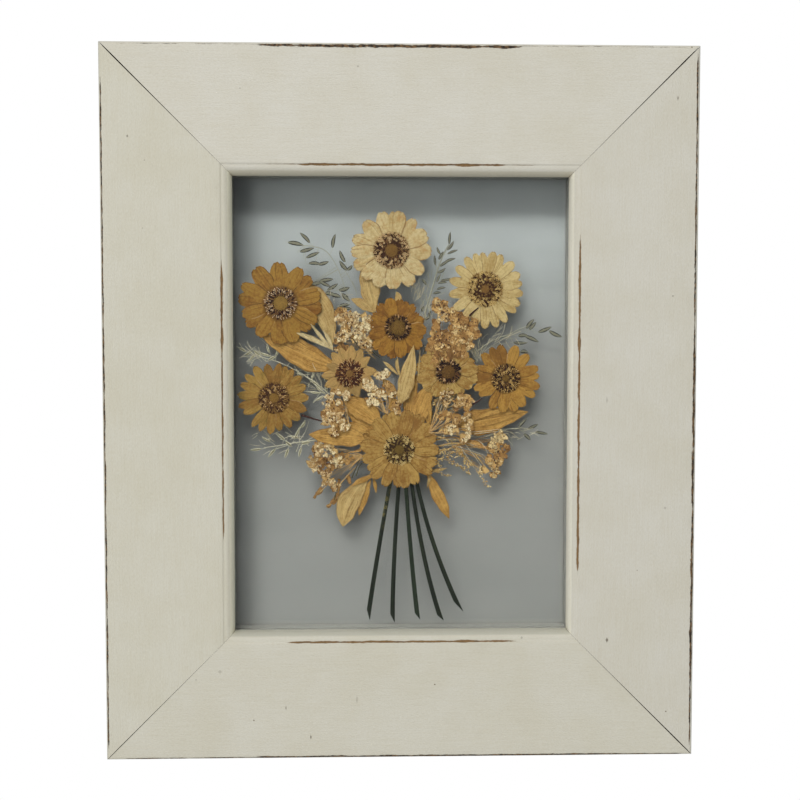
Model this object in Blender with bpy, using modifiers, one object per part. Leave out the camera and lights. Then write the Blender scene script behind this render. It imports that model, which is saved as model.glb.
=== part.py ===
"""A bouquet of pressed flowers between two panes of glass, in a wide cream picture frame.

The frame hangs upright and its front faces -Y.  Four mitred rails hold, from the front: a pane of
glass, the bouquet with thin strips round it, a second pane, four deeper spacers, and a grey board
that steel points keep in.  The origin is the middle notch of the sawtooth hanger on the back.
Depths are given as heights above the back of the rails, which is the face that meets the wall.
"""

import math
import random

import bmesh
import bpy
from mathutils import Matrix, Vector

MM = 0.001

# The opening and the rails round it
OPENING_WIDTH = 142.2 * MM
OPENING_HEIGHT = 193.0 * MM
RAIL_WIDTH = 53.9 * MM
RAIL_DEPTH = 25.0 * MM
LIP = 5.5 * MM
LIP_BACK = 18.6 * MM
BEAD_WIDTH = 3.3 * MM
BEAD_FOOT = 19.6 * MM
BEAD_CREST = 24.3 * MM
GROOVE = 0.3 * MM
OUTER_ROUND = 1.7 * MM
BACK_CHAMFER = 0.6 * MM
BEAD_STEPS = 6
ROUND_STEPS = 3
GAP = 0.3 * MM

# What lies in the rebate, front to back
GLASS_WIDTH = 152.4 * MM
GLASS_HEIGHT = 203.2 * MM
GLASS = 2.0 * MM
FLOWER_SPACE = 3.8 * MM
STRIP_WIDTH = 4.0 * MM
BOARD = 2.0 * MM
BOARD_BACK = 2.6 * MM
GLASS_BEVEL = 0.3 * MM
FRONT_GLASS_TOP = LIP_BACK - GAP
FLOWER_TOP = FRONT_GLASS_TOP - GLASS
FLOWER_FLOOR = FLOWER_TOP - FLOWER_SPACE
BACK_GLASS_FLOOR = FLOWER_FLOOR - GLASS
SPACER_TOP = BACK_GLASS_FLOOR - GAP
SPACER_FLOOR = BOARD_BACK + BOARD + GAP

# Steel points and the sawtooth hanger
POINT_LENGTH = 15.0 * MM
POINT_WIDTH = 7.0 * MM
POINT_SHEET = 0.5 * MM
POINT_IN_WOOD = 4.0 * MM
POINT_SPREAD = 62.0 * MM
POINT_HEEL = 0.4
POINT_NOSE = 0.35
CUTTER_EXTRA = 1.0 * MM
HANGER_LENGTH = 46.0 * MM
HANGER_WIDTH = 8.0 * MM
HANGER_SHEET = 0.8 * MM
HANGER_RISE = 1.5 * MM
HANGER_EAR = 9.0 * MM
TOOTH = 1.6 * MM
TEETH = 9
NAIL_RADIUS = 0.7 * MM
NAIL_HEAD = 1.9 * MM
NAIL_HEAD_HEIGHT = 0.9 * MM
NAIL_LENGTH = 9.0 * MM
NAIL_TAPER = 1.5 * MM
ROUND_SIDES = 10
NOTCH_BELOW_TOP = 16.0 * MM

# The notch is at the origin, in the middle of the raised sheet's thickness
BACK_Y = -(GAP + HANGER_RISE + HANGER_SHEET / 2)
TOP_Z = NOTCH_BELOW_TOP
CENTRE_Z = TOP_Z - RAIL_WIDTH - OPENING_HEIGHT / 2

# Pressed pieces lie in layers between the panes
PRESSED = 0.3 * MM
LAYER_PITCH = 0.58 * MM
FIRST_LAYER = FLOWER_FLOOR + 0.25 * MM
UNDER_GLASS = 0.15 * MM
DISC_HEIGHT = 0.85 * MM
CROWN_TAPER = 0.82
BLOSSOM_HEIGHT = 0.45 * MM
BLOSSOM_CROWN = 0.6
BLOSSOM_SEED = 40
LEAF_SHEET = 0.22 * MM
LEAF_ROWS = 7
LEAF_TIP = 0.2
STEM_SHEET = 0.8 * MM
STEM_EDGE = 0.2 * MM
STEM_ROWS = 5
STEM_HALF_TOP = 0.8
STEM_HALF_FOOT = 1.05

# Half widths of a grass stalk and a spikelet, and how far back a stalk leaves the stem.  These,
# the leaf's tip, the stem's half widths and the places in the bouquet below are in plain
# millimetres, and places are measured from the opening's centre.
GRASS_RADIUS = 0.24 * MM
GRASS_HEIGHT = 0.35 * MM
STALK = 0.18
SPIKELET = 0.9
STALK_LEAN = 2.5
SPIKELET_LIFT = 0.013 * MM

PAINT = (0.62, 0.60, 0.50)
CLEAR = (0.85, 0.92, 0.90)
CARD = (0.06, 0.06, 0.055)
GREY = (0.30, 0.33, 0.33)
STEEL = (0.55, 0.55, 0.54)


def remove_everything():
    """Start from an empty scene."""
    for thing in list(bpy.data.objects):
        bpy.data.objects.remove(thing, do_unlink=True)


def new_collection(name):
    """Return a new collection linked to the scene."""
    collection = bpy.data.collections.new(name)
    bpy.context.scene.collection.children.link(collection)
    return collection


def make_material(name, colour, roughness=0.6, metallic=0.0, transmission=0.0):
    """Return a plain material of one colour."""
    material = bpy.data.materials.new(name)
    material.use_nodes = True
    shader = material.node_tree.nodes["Principled BSDF"]
    shader.inputs["Base Color"].default_value = (*colour, 1.0)
    shader.inputs["Roughness"].default_value = roughness
    shader.inputs["Metallic"].default_value = metallic
    shader.inputs["Transmission Weight"].default_value = transmission
    material.diffuse_color = (*colour, 1.0)
    return material


def place(x, height, z):
    """Turn sideways place, height above the rails' back and vertical place into a world point."""
    return Vector((x, BACK_Y - height, CENTRE_Z + z))


def finish_object(name, data, material, collection):
    """Wrap mesh or curve data in a named object with its material."""
    thing = bpy.data.objects.new(name, data)
    data.materials.append(material)
    collection.objects.link(thing)
    return thing


def mesh_from(bm, name, turn_out=True):
    """Turn a bmesh into mesh data with its faces pointing out."""
    if turn_out:
        bmesh.ops.recalc_face_normals(bm, faces=bm.faces)
    mesh = bpy.data.meshes.new(name)
    bm.to_mesh(mesh)
    bm.free()
    return mesh


def make_box(name, low, high, material, collection, bevel=0.0):
    """Make a box from its lowest and highest corners, with its edges eased if asked."""
    size = high - low
    bm = bmesh.new()
    bmesh.ops.create_cube(bm, size=1.0)
    bmesh.ops.scale(bm, vec=size, verts=bm.verts)
    thing = finish_object(name, mesh_from(bm, name), material, collection)
    thing.location = (low + high) / 2
    if bevel:
        ease = thing.modifiers.new("eased_edges", "BEVEL")
        ease.width = bevel
        ease.segments = 1
    return thing


def cut(target, cutter):
    """Take the cutter's shape out of the target."""
    cutter.hide_render = True
    cutter.display_type = "WIRE"
    taking = target.modifiers.new("cut_" + cutter.name, "BOOLEAN")
    taking.operation = "DIFFERENCE"
    taking.object = cutter


# ---------------------------------------------------------------- the frame

def rail_profile():
    """Return the moulding's section as (distance from the opening, height above the back)."""
    points = [(0.0, LIP_BACK), (0.0, BEAD_FOOT)]
    for step in range(1, BEAD_STEPS + 1):
        angle = math.radians(90 * step / BEAD_STEPS)
        across = BEAD_WIDTH * (1 - math.cos(angle))
        up = BEAD_FOOT + (BEAD_CREST - BEAD_FOOT) * math.sin(angle)
        points.append((across, up))
    points.append((BEAD_WIDTH + GROOVE, BEAD_CREST))
    points.append((BEAD_WIDTH + GROOVE, RAIL_DEPTH - GROOVE))
    points.append((BEAD_WIDTH + 2 * GROOVE, RAIL_DEPTH))
    for step in range(ROUND_STEPS + 1):
        angle = math.radians(90 * step / ROUND_STEPS)
        across = RAIL_WIDTH - OUTER_ROUND + OUTER_ROUND * math.sin(angle)
        up = RAIL_DEPTH - OUTER_ROUND + OUTER_ROUND * math.cos(angle)
        points.append((across, up))
    points.append((RAIL_WIDTH, BACK_CHAMFER))
    points.append((RAIL_WIDTH - BACK_CHAMFER, 0.0))
    points.append((LIP, 0.0))
    points.append((LIP, LIP_BACK))
    return points


def make_rail(name, opening_side, outward, material, collection):
    """Make one mitred rail.  outward is the direction from the opening to the frame's edge."""
    along = Vector((-outward.z, 0, outward.x))
    edge = outward * (OPENING_HEIGHT if abs(outward.z) > 0.5 else OPENING_WIDTH) / 2
    bm = bmesh.new()
    section = [bm.verts.new((across, up, 0)) for across, up in rail_profile()]
    face = bm.faces.new(section)
    grown = bmesh.ops.extrude_face_region(bm, geom=[face])["geom"]
    far = [item for item in grown if isinstance(item, bmesh.types.BMVert)]
    for vertex in far:
        vertex.co.z = 1.0
    for vertex in bm.verts:
        across, up, end = vertex.co
        # the mitre runs at 45 degrees, half a gap short of the neighbour
        reach = (opening_side / 2 + across - GAP / 2) * (1 if end > 0.5 else -1)
        vertex.co = place(0, up, 0) + edge + outward * across + along * reach
    return finish_object(name, mesh_from(bm, name), material, collection)


def make_frame(parts, cutters):
    """Make the four rails, with slits for the steel points and holes for the hanger's nails."""
    paint = make_material("cream_paint", PAINT, 0.55)
    up, right = Vector((0, 0, 1)), Vector((1, 0, 0))
    rails = {
        "rail_top": make_rail("rail_top", OPENING_WIDTH, up, paint, parts),
        "rail_bottom": make_rail("rail_bottom", OPENING_WIDTH, -up, paint, parts),
        "rail_left": make_rail("rail_left", OPENING_HEIGHT, -right, paint, parts),
        "rail_right": make_rail("rail_right", OPENING_HEIGHT, right, paint, parts),
    }
    wall = OPENING_WIDTH / 2 + LIP
    slit_low, slit_high = point_heights()
    for side, rail in ((-1, rails["rail_left"]), (1, rails["rail_right"])):
        for level in (-1, 1):
            low_z = level * POINT_SPREAD - POINT_WIDTH / 2 - GAP
            high_z = level * POINT_SPREAD + POINT_WIDTH / 2 + GAP
            near, far = side * (wall - CUTTER_EXTRA), side * (wall + POINT_IN_WOOD + GAP)
            low = place(min(near, far), slit_high + GAP, low_z)
            high = place(max(near, far), slit_low - GAP, high_z)
            side_word, level_word = ("left" if side < 0 else "right"), ("low" if level < 0 else "high")
            name = "slit_%s_%s" % (side_word, level_word)
            cut(rail, make_box(name, low, high, paint, cutters))
    for side, word in ((-1, "left"), (1, "right")):
        name = "nail_hole_" + word
        depth = NAIL_LENGTH + GAP
        hole = make_peg(name, NAIL_RADIUS + GAP, depth + CUTTER_EXTRA, paint, cutters)
        hole.location = nail_place(side) - Vector((0, (depth - CUTTER_EXTRA) / 2, 0))
        cut(rails["rail_top"], hole)


def make_pane(name, floor, material, collection):
    """Make one pane of glass from its back face up."""
    half = Vector((GLASS_WIDTH / 2, 0, GLASS_HEIGHT / 2))
    low = place(0, floor + GLASS, 0) - half
    high = place(0, floor, 0) + half
    return make_box(name, low, high, material, collection, bevel=GLASS_BEVEL)


def make_strips(name, floor, top, material, collection):
    """Make four strips round the glass's edge, butted at the corners."""
    half_x, half_z = GLASS_WIDTH / 2, GLASS_HEIGHT / 2
    inner_z = half_z - STRIP_WIDTH - GAP
    boxes = {
        "top": (-half_x, half_x, half_z - STRIP_WIDTH, half_z),
        "bottom": (-half_x, half_x, -half_z, STRIP_WIDTH - half_z),
        "left": (-half_x, STRIP_WIDTH - half_x, -inner_z, inner_z),
        "right": (half_x - STRIP_WIDTH, half_x, -inner_z, inner_z),
    }
    for side, (x0, x1, z0, z1) in boxes.items():
        make_box(name + "_" + side, place(x0, top, z0), place(x1, floor, z1), material, collection)


def make_glazing(parts):
    """Make the panes, the strips between them, the spacers and the board."""
    glass = make_material("clear_glass", CLEAR, 0.05, transmission=1.0)
    card = make_material("dark_card", CARD, 0.8)
    board = make_material("grey_board", GREY, 0.85)
    make_pane("front_glass", FLOWER_TOP, glass, parts)
    make_pane("back_glass", BACK_GLASS_FLOOR, glass, parts)
    make_strips("pane_strip", FLOWER_FLOOR + GAP, FLOWER_TOP - GAP, card, parts)
    make_strips("spacer", SPACER_FLOOR, SPACER_TOP, card, parts)
    half = Vector((GLASS_WIDTH / 2, 0, GLASS_HEIGHT / 2))
    low = place(0, BOARD_BACK + BOARD, 0) - half
    high = place(0, BOARD_BACK, 0) + half
    make_box("backing_board", low, high, board, parts)


# ---------------------------------------------------------------- fixings on the back

def point_heights():
    """Return the lowest and highest height of a steel point's sheet."""
    top = BOARD_BACK - GAP
    return top - POINT_SHEET, top


def make_points(parts):
    """Make the four steel points that stand out of slits in the side rails, over the board."""
    steel = make_material("point_steel", STEEL, 0.35, 1.0)
    wall = OPENING_WIDTH / 2 + LIP
    low, high = point_heights()
    half = POINT_WIDTH / 2
    reach = POINT_IN_WOOD - POINT_LENGTH
    upper = [(POINT_IN_WOOD, half * POINT_HEEL), (0, half), (reach + half, half), (reach, half * POINT_NOSE)]
    outline = upper + [(x, -z) for x, z in reversed(upper)]
    for side, word in ((-1, "left"), (1, "right")):
        for level, height in ((-1, "low"), (1, "high")):
            points = [(side * (wall + x), z + level * POINT_SPREAD) for x, z in outline]
            make_plate("point_%s_%s" % (word, height), points, low, high, steel, parts)


def nail_place(side):
    """Return where a nail's shank leaves the back of the top rail."""
    reach = HANGER_LENGTH / 2 - HANGER_EAR / 2
    return Vector((side * reach, BACK_Y, HANGER_WIDTH / 2))


def make_peg(name, radius, length, material, collection):
    """Make a round peg along Y, centred on its own origin."""
    bm = bmesh.new()
    bmesh.ops.create_cone(
        bm, cap_ends=True, segments=ROUND_SIDES, radius1=radius, radius2=radius, depth=length)
    bmesh.ops.rotate(bm, matrix=Matrix.Rotation(math.radians(90), 3, "X"), verts=bm.verts)
    return finish_object(name, mesh_from(bm, name), material, collection)


def make_hanger(parts, cutters):
    """Make the sawtooth hanger: flat ears on the wood and a raised toothed middle."""
    steel = make_material("hanger_steel", STEEL, 0.4, 1.0)
    half = HANGER_LENGTH / 2
    raised = half - HANGER_EAR - 2 * HANGER_RISE
    ears = [-half, -half + HANGER_EAR, half - HANGER_EAR, half]
    teeth = [-raised + 2 * raised * step / (2 * TEETH) for step in range(2 * TEETH + 1)]
    columns = sorted(ears + teeth)
    bm = bmesh.new()
    bmesh.ops.create_grid(bm, x_segments=len(columns) - 1, y_segments=1, size=1.0)
    for vertex in bm.verts:
        index = round((vertex.co.x + 1) / 2 * (len(columns) - 1))
        x = columns[index]
        in_middle = abs(x) <= raised + 1e-6
        is_notch = in_middle and (index - columns.index(teeth[0])) % 2 == 1
        height = -GAP - HANGER_SHEET / 2 - (HANGER_RISE if in_middle else 0)
        low_z = 0.0 if is_notch or not in_middle else -TOOTH
        z = HANGER_WIDTH if vertex.co.y > 0 else low_z
        vertex.co = Vector((x, BACK_Y - height, z))
    hanger = finish_object("sawtooth_hanger", mesh_from(bm, "sawtooth_hanger"), steel, parts)
    sheet = hanger.modifiers.new("sheet", "SOLIDIFY")
    sheet.thickness = HANGER_SHEET
    sheet.offset = 0.0
    for side, word in ((-1, "left"), (1, "right")):
        hole = make_peg("ear_hole_" + word, NAIL_RADIUS + GAP, NAIL_LENGTH, steel, cutters)
        hole.location = nail_place(side)
        cut(hanger, hole)
        make_nail("hanger_nail_" + word, nail_place(side), steel, parts)


def make_nail(name, foot, material, collection):
    """Make a round-headed nail turned about its own axis, its head over the hanger's ear."""
    under_head = GAP + HANGER_SHEET + GAP
    profile = [
        (0.0, under_head + NAIL_HEAD_HEIGHT),
        (NAIL_HEAD * 0.6, under_head + NAIL_HEAD_HEIGHT * 0.8),
        (NAIL_HEAD, under_head),
        (NAIL_RADIUS, under_head),
        (NAIL_RADIUS, NAIL_TAPER - NAIL_LENGTH),
        (0.0, -NAIL_LENGTH),
    ]
    bm = bmesh.new()
    line = [bm.verts.new((across, 0, up)) for across, up in profile]
    for start, end in zip(line, line[1:]):
        bm.edges.new((start, end))
    mesh = bpy.data.meshes.new(name)
    bm.to_mesh(mesh)
    bm.free()
    nail = finish_object(name, mesh, material, collection)
    turn = nail.modifiers.new("turned", "SCREW")
    turn.steps = ROUND_SIDES
    turn.render_steps = ROUND_SIDES
    turn.use_merge_vertices = True
    turn.merge_threshold = 0.00005
    nail.rotation_euler = (math.radians(-90), 0, 0)
    nail.location = foot
    return nail


# ---------------------------------------------------------------- the bouquet

def layer_floor(layer):
    """Return the height of the back of a layer of pressed pieces."""
    return FIRST_LAYER + layer * LAYER_PITCH


def make_plate(name, outline, low, high, material, collection, bevel=0.0):
    """Make a flat piece from its outline, between two heights, with its edges eased if asked."""
    curve = bpy.data.curves.new(name, "CURVE")
    curve.dimensions = "2D"
    curve.fill_mode = "BOTH"
    curve.extrude = (high - low) / 2
    spline = curve.splines.new("POLY")
    spline.points.add(len(outline) - 1)
    for point, (x, z) in zip(spline.points, outline):
        point.co = (x, z, 0, 1)
    spline.use_cyclic_u = True
    thing = finish_object(name, curve, material, collection)
    thing.rotation_euler = (math.radians(90), 0, 0)
    thing.location = place(0, (low + high) / 2, 0)
    if bevel:
        weld = thing.modifiers.new("weld", "WELD")
        weld.merge_threshold = 0.00001
        ease = thing.modifiers.new("eased_edges", "BEVEL")
        ease.width = bevel
        ease.segments = 1
    return thing


def of_kind(items, kind):
    """Return the items of one kind, such as the vertices of what an operator made."""
    return [item for item in items if isinstance(item, kind)]


def by_angle(vertices):
    """Return vertices in order round the centre."""
    return sorted(vertices, key=lambda vertex: math.atan2(vertex.co.y, vertex.co.x) % math.tau)


def make_rosette(name, centre, rings, crown, layer, material, collection, turn=0.0):
    """Make a flat-backed head: a raised middle and an outline that goes in and out.

    rings is the outline as (angle, radius, height) for each column, and crown is the raised
    middle as (radius, height).
    """
    bm = bmesh.new()
    bmesh.ops.create_circle(bm, segments=len(rings), radius=1.0)
    inner = by_angle(bm.verts)
    outer_edges = bmesh.ops.extrude_edge_only(bm, edges=bm.edges[:])["geom"]
    outer = by_angle(of_kind(outer_edges, bmesh.types.BMVert))
    crown_radius, crown_height = crown
    for foot, tip, (angle, radius, height) in zip(inner, outer, rings):
        foot.co = (crown_radius * math.cos(angle), crown_radius * math.sin(angle), height)
        tip.co = (radius * math.cos(angle), radius * math.sin(angle), height)
    open_edges = [edge for edge in bm.edges if edge.is_boundary]
    rim = [edge for edge in open_edges if edge.verts[0] in outer]
    collar = [edge for edge in open_edges if edge.verts[0] in inner]
    raised = bmesh.ops.extrude_edge_only(bm, edges=collar)["geom"]
    for vertex in of_kind(raised, bmesh.types.BMVert):
        vertex.co = (vertex.co.x * CROWN_TAPER, vertex.co.y * CROWN_TAPER, crown_height)
    bmesh.ops.edgeloop_fill(bm, edges=of_kind(raised, bmesh.types.BMEdge))
    sunk = bmesh.ops.extrude_edge_only(bm, edges=rim)["geom"]
    for vertex in of_kind(sunk, bmesh.types.BMVert):
        vertex.co.z = 0.0
    bmesh.ops.edgeloop_fill(bm, edges=of_kind(sunk, bmesh.types.BMEdge))
    bmesh.ops.rotate(bm, matrix=Matrix.Rotation(turn, 3, "Z"), verts=bm.verts)
    rosette = finish_object(name, mesh_from(bm, name), material, collection)
    rosette.rotation_euler = (math.radians(90), 0, 0)
    rosette.location = place(centre[0] * MM, layer_floor(layer), centre[1] * MM)
    return rosette


def petal_rings(petals, disc, reach, gap, seed):
    """Return a daisy's outline: each blunt petal has a valley and two shoulders."""
    chance = random.Random(seed)
    rings = []
    for petal in range(petals):
        length = reach * (1 + chance.uniform(-0.07, 0.03))
        valley = disc + (reach - disc) * (1 - gap)
        for along, radius, height in ((0.0, valley, 0.75), (0.22, length, 1.1), (0.78, length, 1.1)):
            angle = math.tau * (petal + along) / petals
            rings.append((angle, radius * MM, height * PRESSED))
    return rings


def make_heads(parts):
    """Make the nine daisy-like heads, petals and disc in one piece each."""
    straw, amber = (0.55, 0.40, 0.18), (0.38, 0.21, 0.06)
    orange, brown = (0.42, 0.21, 0.06), (0.30, 0.14, 0.03)
    # name: place, disc radius, petal reach, petals, depth of the gaps, layer, colour
    heads = {
        "flower_top": ((-4.5, 66.0), 7.2, 17.3, 14, 0.28, 3, straw),
        "flower_upper_left": ((-52.0, 43.5), 6.5, 17.0, 14, 0.50, 3, orange),
        "flower_upper_right": ((36.0, 50.0), 7.2, 16.0, 20, 0.50, 3, straw),
        "flower_middle": ((-2.0, 33.0), 5.6, 13.6, 14, 0.30, 3, brown),
        "flower_left_of_middle": ((-22.0, 13.0), 6.0, 11.4, 14, 0.45, 4, amber),
        "flower_right_of_middle": ((19.5, 14.5), 5.6, 12.8, 12, 0.35, 4, orange),
        "flower_right": ((44.5, 11.5), 6.0, 15.4, 14, 0.50, 3, orange),
        "flower_left": ((-54.5, 2.5), 6.4, 15.4, 20, 0.40, 3, amber),
        "flower_big": ((-1.0, -19.5), 6.5, 17.0, 18, 0.28, 5, orange),
    }
    for seed, (name, row) in enumerate(heads.items()):
        centre, disc, reach, petals, gap, layer, colour = row
        material = make_material(name + "_petals", colour, 0.7)
        rings = petal_rings(petals, disc, reach, gap, seed)
        room = FLOWER_TOP - layer_floor(layer) - UNDER_GLASS
        crown = (disc * MM, min(DISC_HEIGHT, room))
        make_rosette(name, centre, rings, crown, layer, material, parts)


def blossom_rings(florets, reach, squash, seed):
    """Return a cluster's outline: each floret on the rim has a valley and two shoulders."""
    chance = random.Random(seed)
    rings = []
    for floret in range(florets):
        length = reach * chance.uniform(0.86, 1.0)
        for along, share in ((0.0, 0.8), (0.25, 1.0), (0.75, 0.98)):
            angle = math.tau * (floret + along) / florets
            oval = math.hypot(math.cos(angle), squash * math.sin(angle))
            rings.append((angle, length * share * oval * MM, PRESSED))
    return rings


def make_blossoms(parts):
    """Make the clusters of tiny blossoms as lumpy flat-backed masses."""
    white, tan = (0.62, 0.55, 0.38), (0.48, 0.27, 0.09)
    # name: place, reach, florets round the rim, width to length, lean in degrees, layer, colour
    clusters = {
        "blossom_upper_left": ((-20.0, 32.0), 9.6, 9, 0.75, 20, 2, white),
        "blossom_upper_right": ((22.5, 34.0), 11.0, 11, 0.9, 60, 5, tan),
        "blossom_middle": ((-11.0, 8.4), 9.5, 9, 0.56, 105, 5, white),
        "blossom_left": ((-29.5, -3.5), 10.0, 9, 0.62, 75, 5, white),
        "blossom_lower_left": ((-31.5, -26.0), 10.0, 10, 0.75, 80, 2, white),
        "blossom_right": ((22.5, -4.5), 10.5, 10, 0.6, 120, 5, white),
        "blossom_lower_right": ((41.5, -21.5), 11.0, 10, 0.55, 85, 2, tan),
    }
    for seed, (name, row) in enumerate(clusters.items()):
        centre, reach, florets, squash, lean, layer, colour = row
        rings = blossom_rings(florets, reach, squash, BLOSSOM_SEED + seed)
        material = make_material(name + "_florets", colour, 0.8)
        crown = (reach * squash * BLOSSOM_CROWN * MM, BLOSSOM_HEIGHT)
        make_rosette(name, centre, rings, crown, layer, material, parts, math.radians(lean))


def curve_through(points, share):
    """Return the place and direction on the smooth curve through three points."""
    start, middle, end = (Vector(point) for point in points)
    # the control point that makes a quadratic curve pass through the middle point
    pull = 2 * middle - (start + end) / 2
    where = start * (1 - share) ** 2 + pull * 2 * share * (1 - share) + end * share ** 2
    heading = (pull - start) * (1 - share) + (end - pull) * share
    return where, heading.normalized()


def make_leaf(name, points, half_width, layer, material, collection, skew=1.0):
    """Make a pointed leaf with a raised midrib along a curved centre line, base to tip."""
    bm = bmesh.new()
    bmesh.ops.create_grid(bm, x_segments=2, y_segments=LEAF_ROWS, size=1.0)
    for vertex in bm.verts:
        side, share = vertex.co.x, (vertex.co.y + 1) / 2
        where, heading = curve_through(points, share)
        across = Vector((heading.y, -heading.x))
        width = max(LEAF_TIP, half_width * math.sin(math.pi * share ** skew))
        spot = (where + across * side * width) * MM
        rib = PRESSED * (0.5 if abs(side) < 0.5 else 0.0)
        vertex.co = place(spot.x, layer_floor(layer) + rib, spot.y)
    leaf = finish_object(name, mesh_from(bm, name), material, collection)
    sheet = leaf.modifiers.new("thickness", "SOLIDIFY")
    sheet.thickness = LEAF_SHEET
    sheet.offset = 1.0 if leaf.data.polygons[0].normal.y < 0 else -1.0
    return leaf


def make_leaves(parts):
    """Make the golden leaves, each from its base to its tip."""
    golden = make_material("golden_leaf", (0.50, 0.28, 0.09), 0.65)
    pale = make_material("pale_leaf", (0.58, 0.38, 0.16), 0.65)
    # name: base, middle and tip, half width, layer, colour, where the leaf is widest
    leaves = {
        "leaf_under_top": (((-15.0, 64.0), (-13.5, 51.5), (-11.0, 39.5)), 4.3, 1, pale, 1.0),
        "leaf_upper_left": (((-41.0, 50.0), (-32.0, 41.0), (-29.0, 28.5)), 2.9, 1, pale, 1.0),
        "leaf_left_long": (((-26.5, 14.5), (-43.0, 22.0), (-60.0, 30.0)), 5.6, 1, golden, 0.9),
        "leaf_upright": (((0.5, 0.5), (3.3, 13.0), (4.8, 25.5)), 3.5, 5, pale, 1.0),
        "leaf_beside_upright": (((3.5, -12.0), (9.0, -0.5), (12.0, 9.0)), 4.2, 3, golden, 0.9),
        "leaf_middle_left": (((-8.0, -9.0), (-16.5, -2.0), (-25.0, 2.5)), 5.0, 3, golden, 1.0),
        "leaf_pointing_left": (((-14.0, -14.5), (-28.0, -13.5), (-39.5, -12.8)), 4.4, 3, golden, 0.8),
        "leaf_right": (((24.5, -9.5), (40.0, -6.0), (55.0, -3.0)), 5.6, 1, golden, 0.85),
        "leaf_lower_left": (((-11.5, -29.0), (-21.5, -40.0), (-25.5, -52.0)), 4.6, 1, pale, 1.2),
        "leaf_lower_right": (((11.0, -28.5), (16.2, -39.5), (21.0, -49.5)), 2.5, 1, golden, 1.1),
    }
    for name, (points, half_width, layer, colour, skew) in leaves.items():
        make_leaf(name, points, half_width, layer, colour, parts, skew)


def make_stems(parts):
    """Make the five green stems, cut slantwise at their feet."""
    green = make_material("green_stem", (0.04, 0.06, 0.03), 0.6)
    # name: top, knee, tip of the slanted cut, length of the cut, layer
    stems = {
        "stem_far_left": ((-3.2, -26.0), (-9.5, -62.0), (-14.4, -93.5), 5.2, 2.2),
        "stem_left": ((-0.2, -26.0), (-3.5, -64.0), (-3.6, -95.0), 4.8, 0.4),
        "stem_middle": ((1.6, -26.0), (3.6, -64.0), (7.4, -93.5), 4.2, 2.2),
        "stem_right": ((3.6, -26.0), (8.6, -64.0), (17.8, -94.5), 4.0, 0.4),
        "stem_far_right": ((5.4, -26.0), (13.4, -58.0), (26.3, -90.5), 5.5, 2.2),
    }
    for name, (top, knee, tip, cut_length, layer) in stems.items():
        left, right = [], []
        for row in range(STEM_ROWS + 1):
            share = row / STEM_ROWS
            where, heading = curve_through((top, knee, tip), share)
            across = Vector((heading.y, -heading.x))
            half = STEM_HALF_TOP + (STEM_HALF_FOOT - STEM_HALF_TOP) * share
            back = heading * (cut_length if row == STEM_ROWS else 0.0)
            # the foot is cut slantwise, and its left side in the front view is the shorter
            right.append(where + across * half - back)
            left.append(where - across * half)
        outline = [tuple(spot * MM) for spot in left + right[::-1]]
        floor = layer_floor(layer)
        make_plate(name, outline, floor, floor + STEM_SHEET, green, parts, bevel=STEM_EDGE)


def add_spikelet(bm, root, foot, tip, height):
    """Add a pointed grass spikelet on its stalk: thin from the root to its foot, then full."""
    made = bmesh.ops.create_uvsphere(bm, u_segments=4, v_segments=3, radius=1.0)["verts"]
    belly = foot + (tip - foot) * 0.45
    for vertex in made:
        side = Vector((vertex.co.x, vertex.co.y))
        if side.length < 0.1:
            where, wide, heading = (tip if vertex.co.z > 0 else root), 0.0, tip - foot
        elif vertex.co.z > 0:
            where, wide, heading = belly, SPIKELET, tip - foot
        else:
            where, wide, heading = foot, STALK, tip - root
        across = Vector((heading.y, -heading.x)).normalized() * side.x * wide
        depth = side.y * min(wide, 0.3)
        vertex.co = place((where + across).x * MM, height + depth * MM, (where + across).y * MM)
    # the sphere was mirrored when its depth was turned to the front
    bmesh.ops.reverse_faces(bm, faces=list({face for vertex in made for face in vertex.link_faces}))


def nearest_on(stem, spot):
    """Return the nearest place to a spot on a stem given as points, kept off the stem's ends."""
    best = None
    for start, end in zip(stem, stem[1:]):
        run = end - start
        share = max(0.1, min(0.9, (spot - start).dot(run) / run.length_squared))
        found = start + run * share
        if best is None or (found - spot).length < (best - spot).length:
            best = found
    return best


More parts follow.
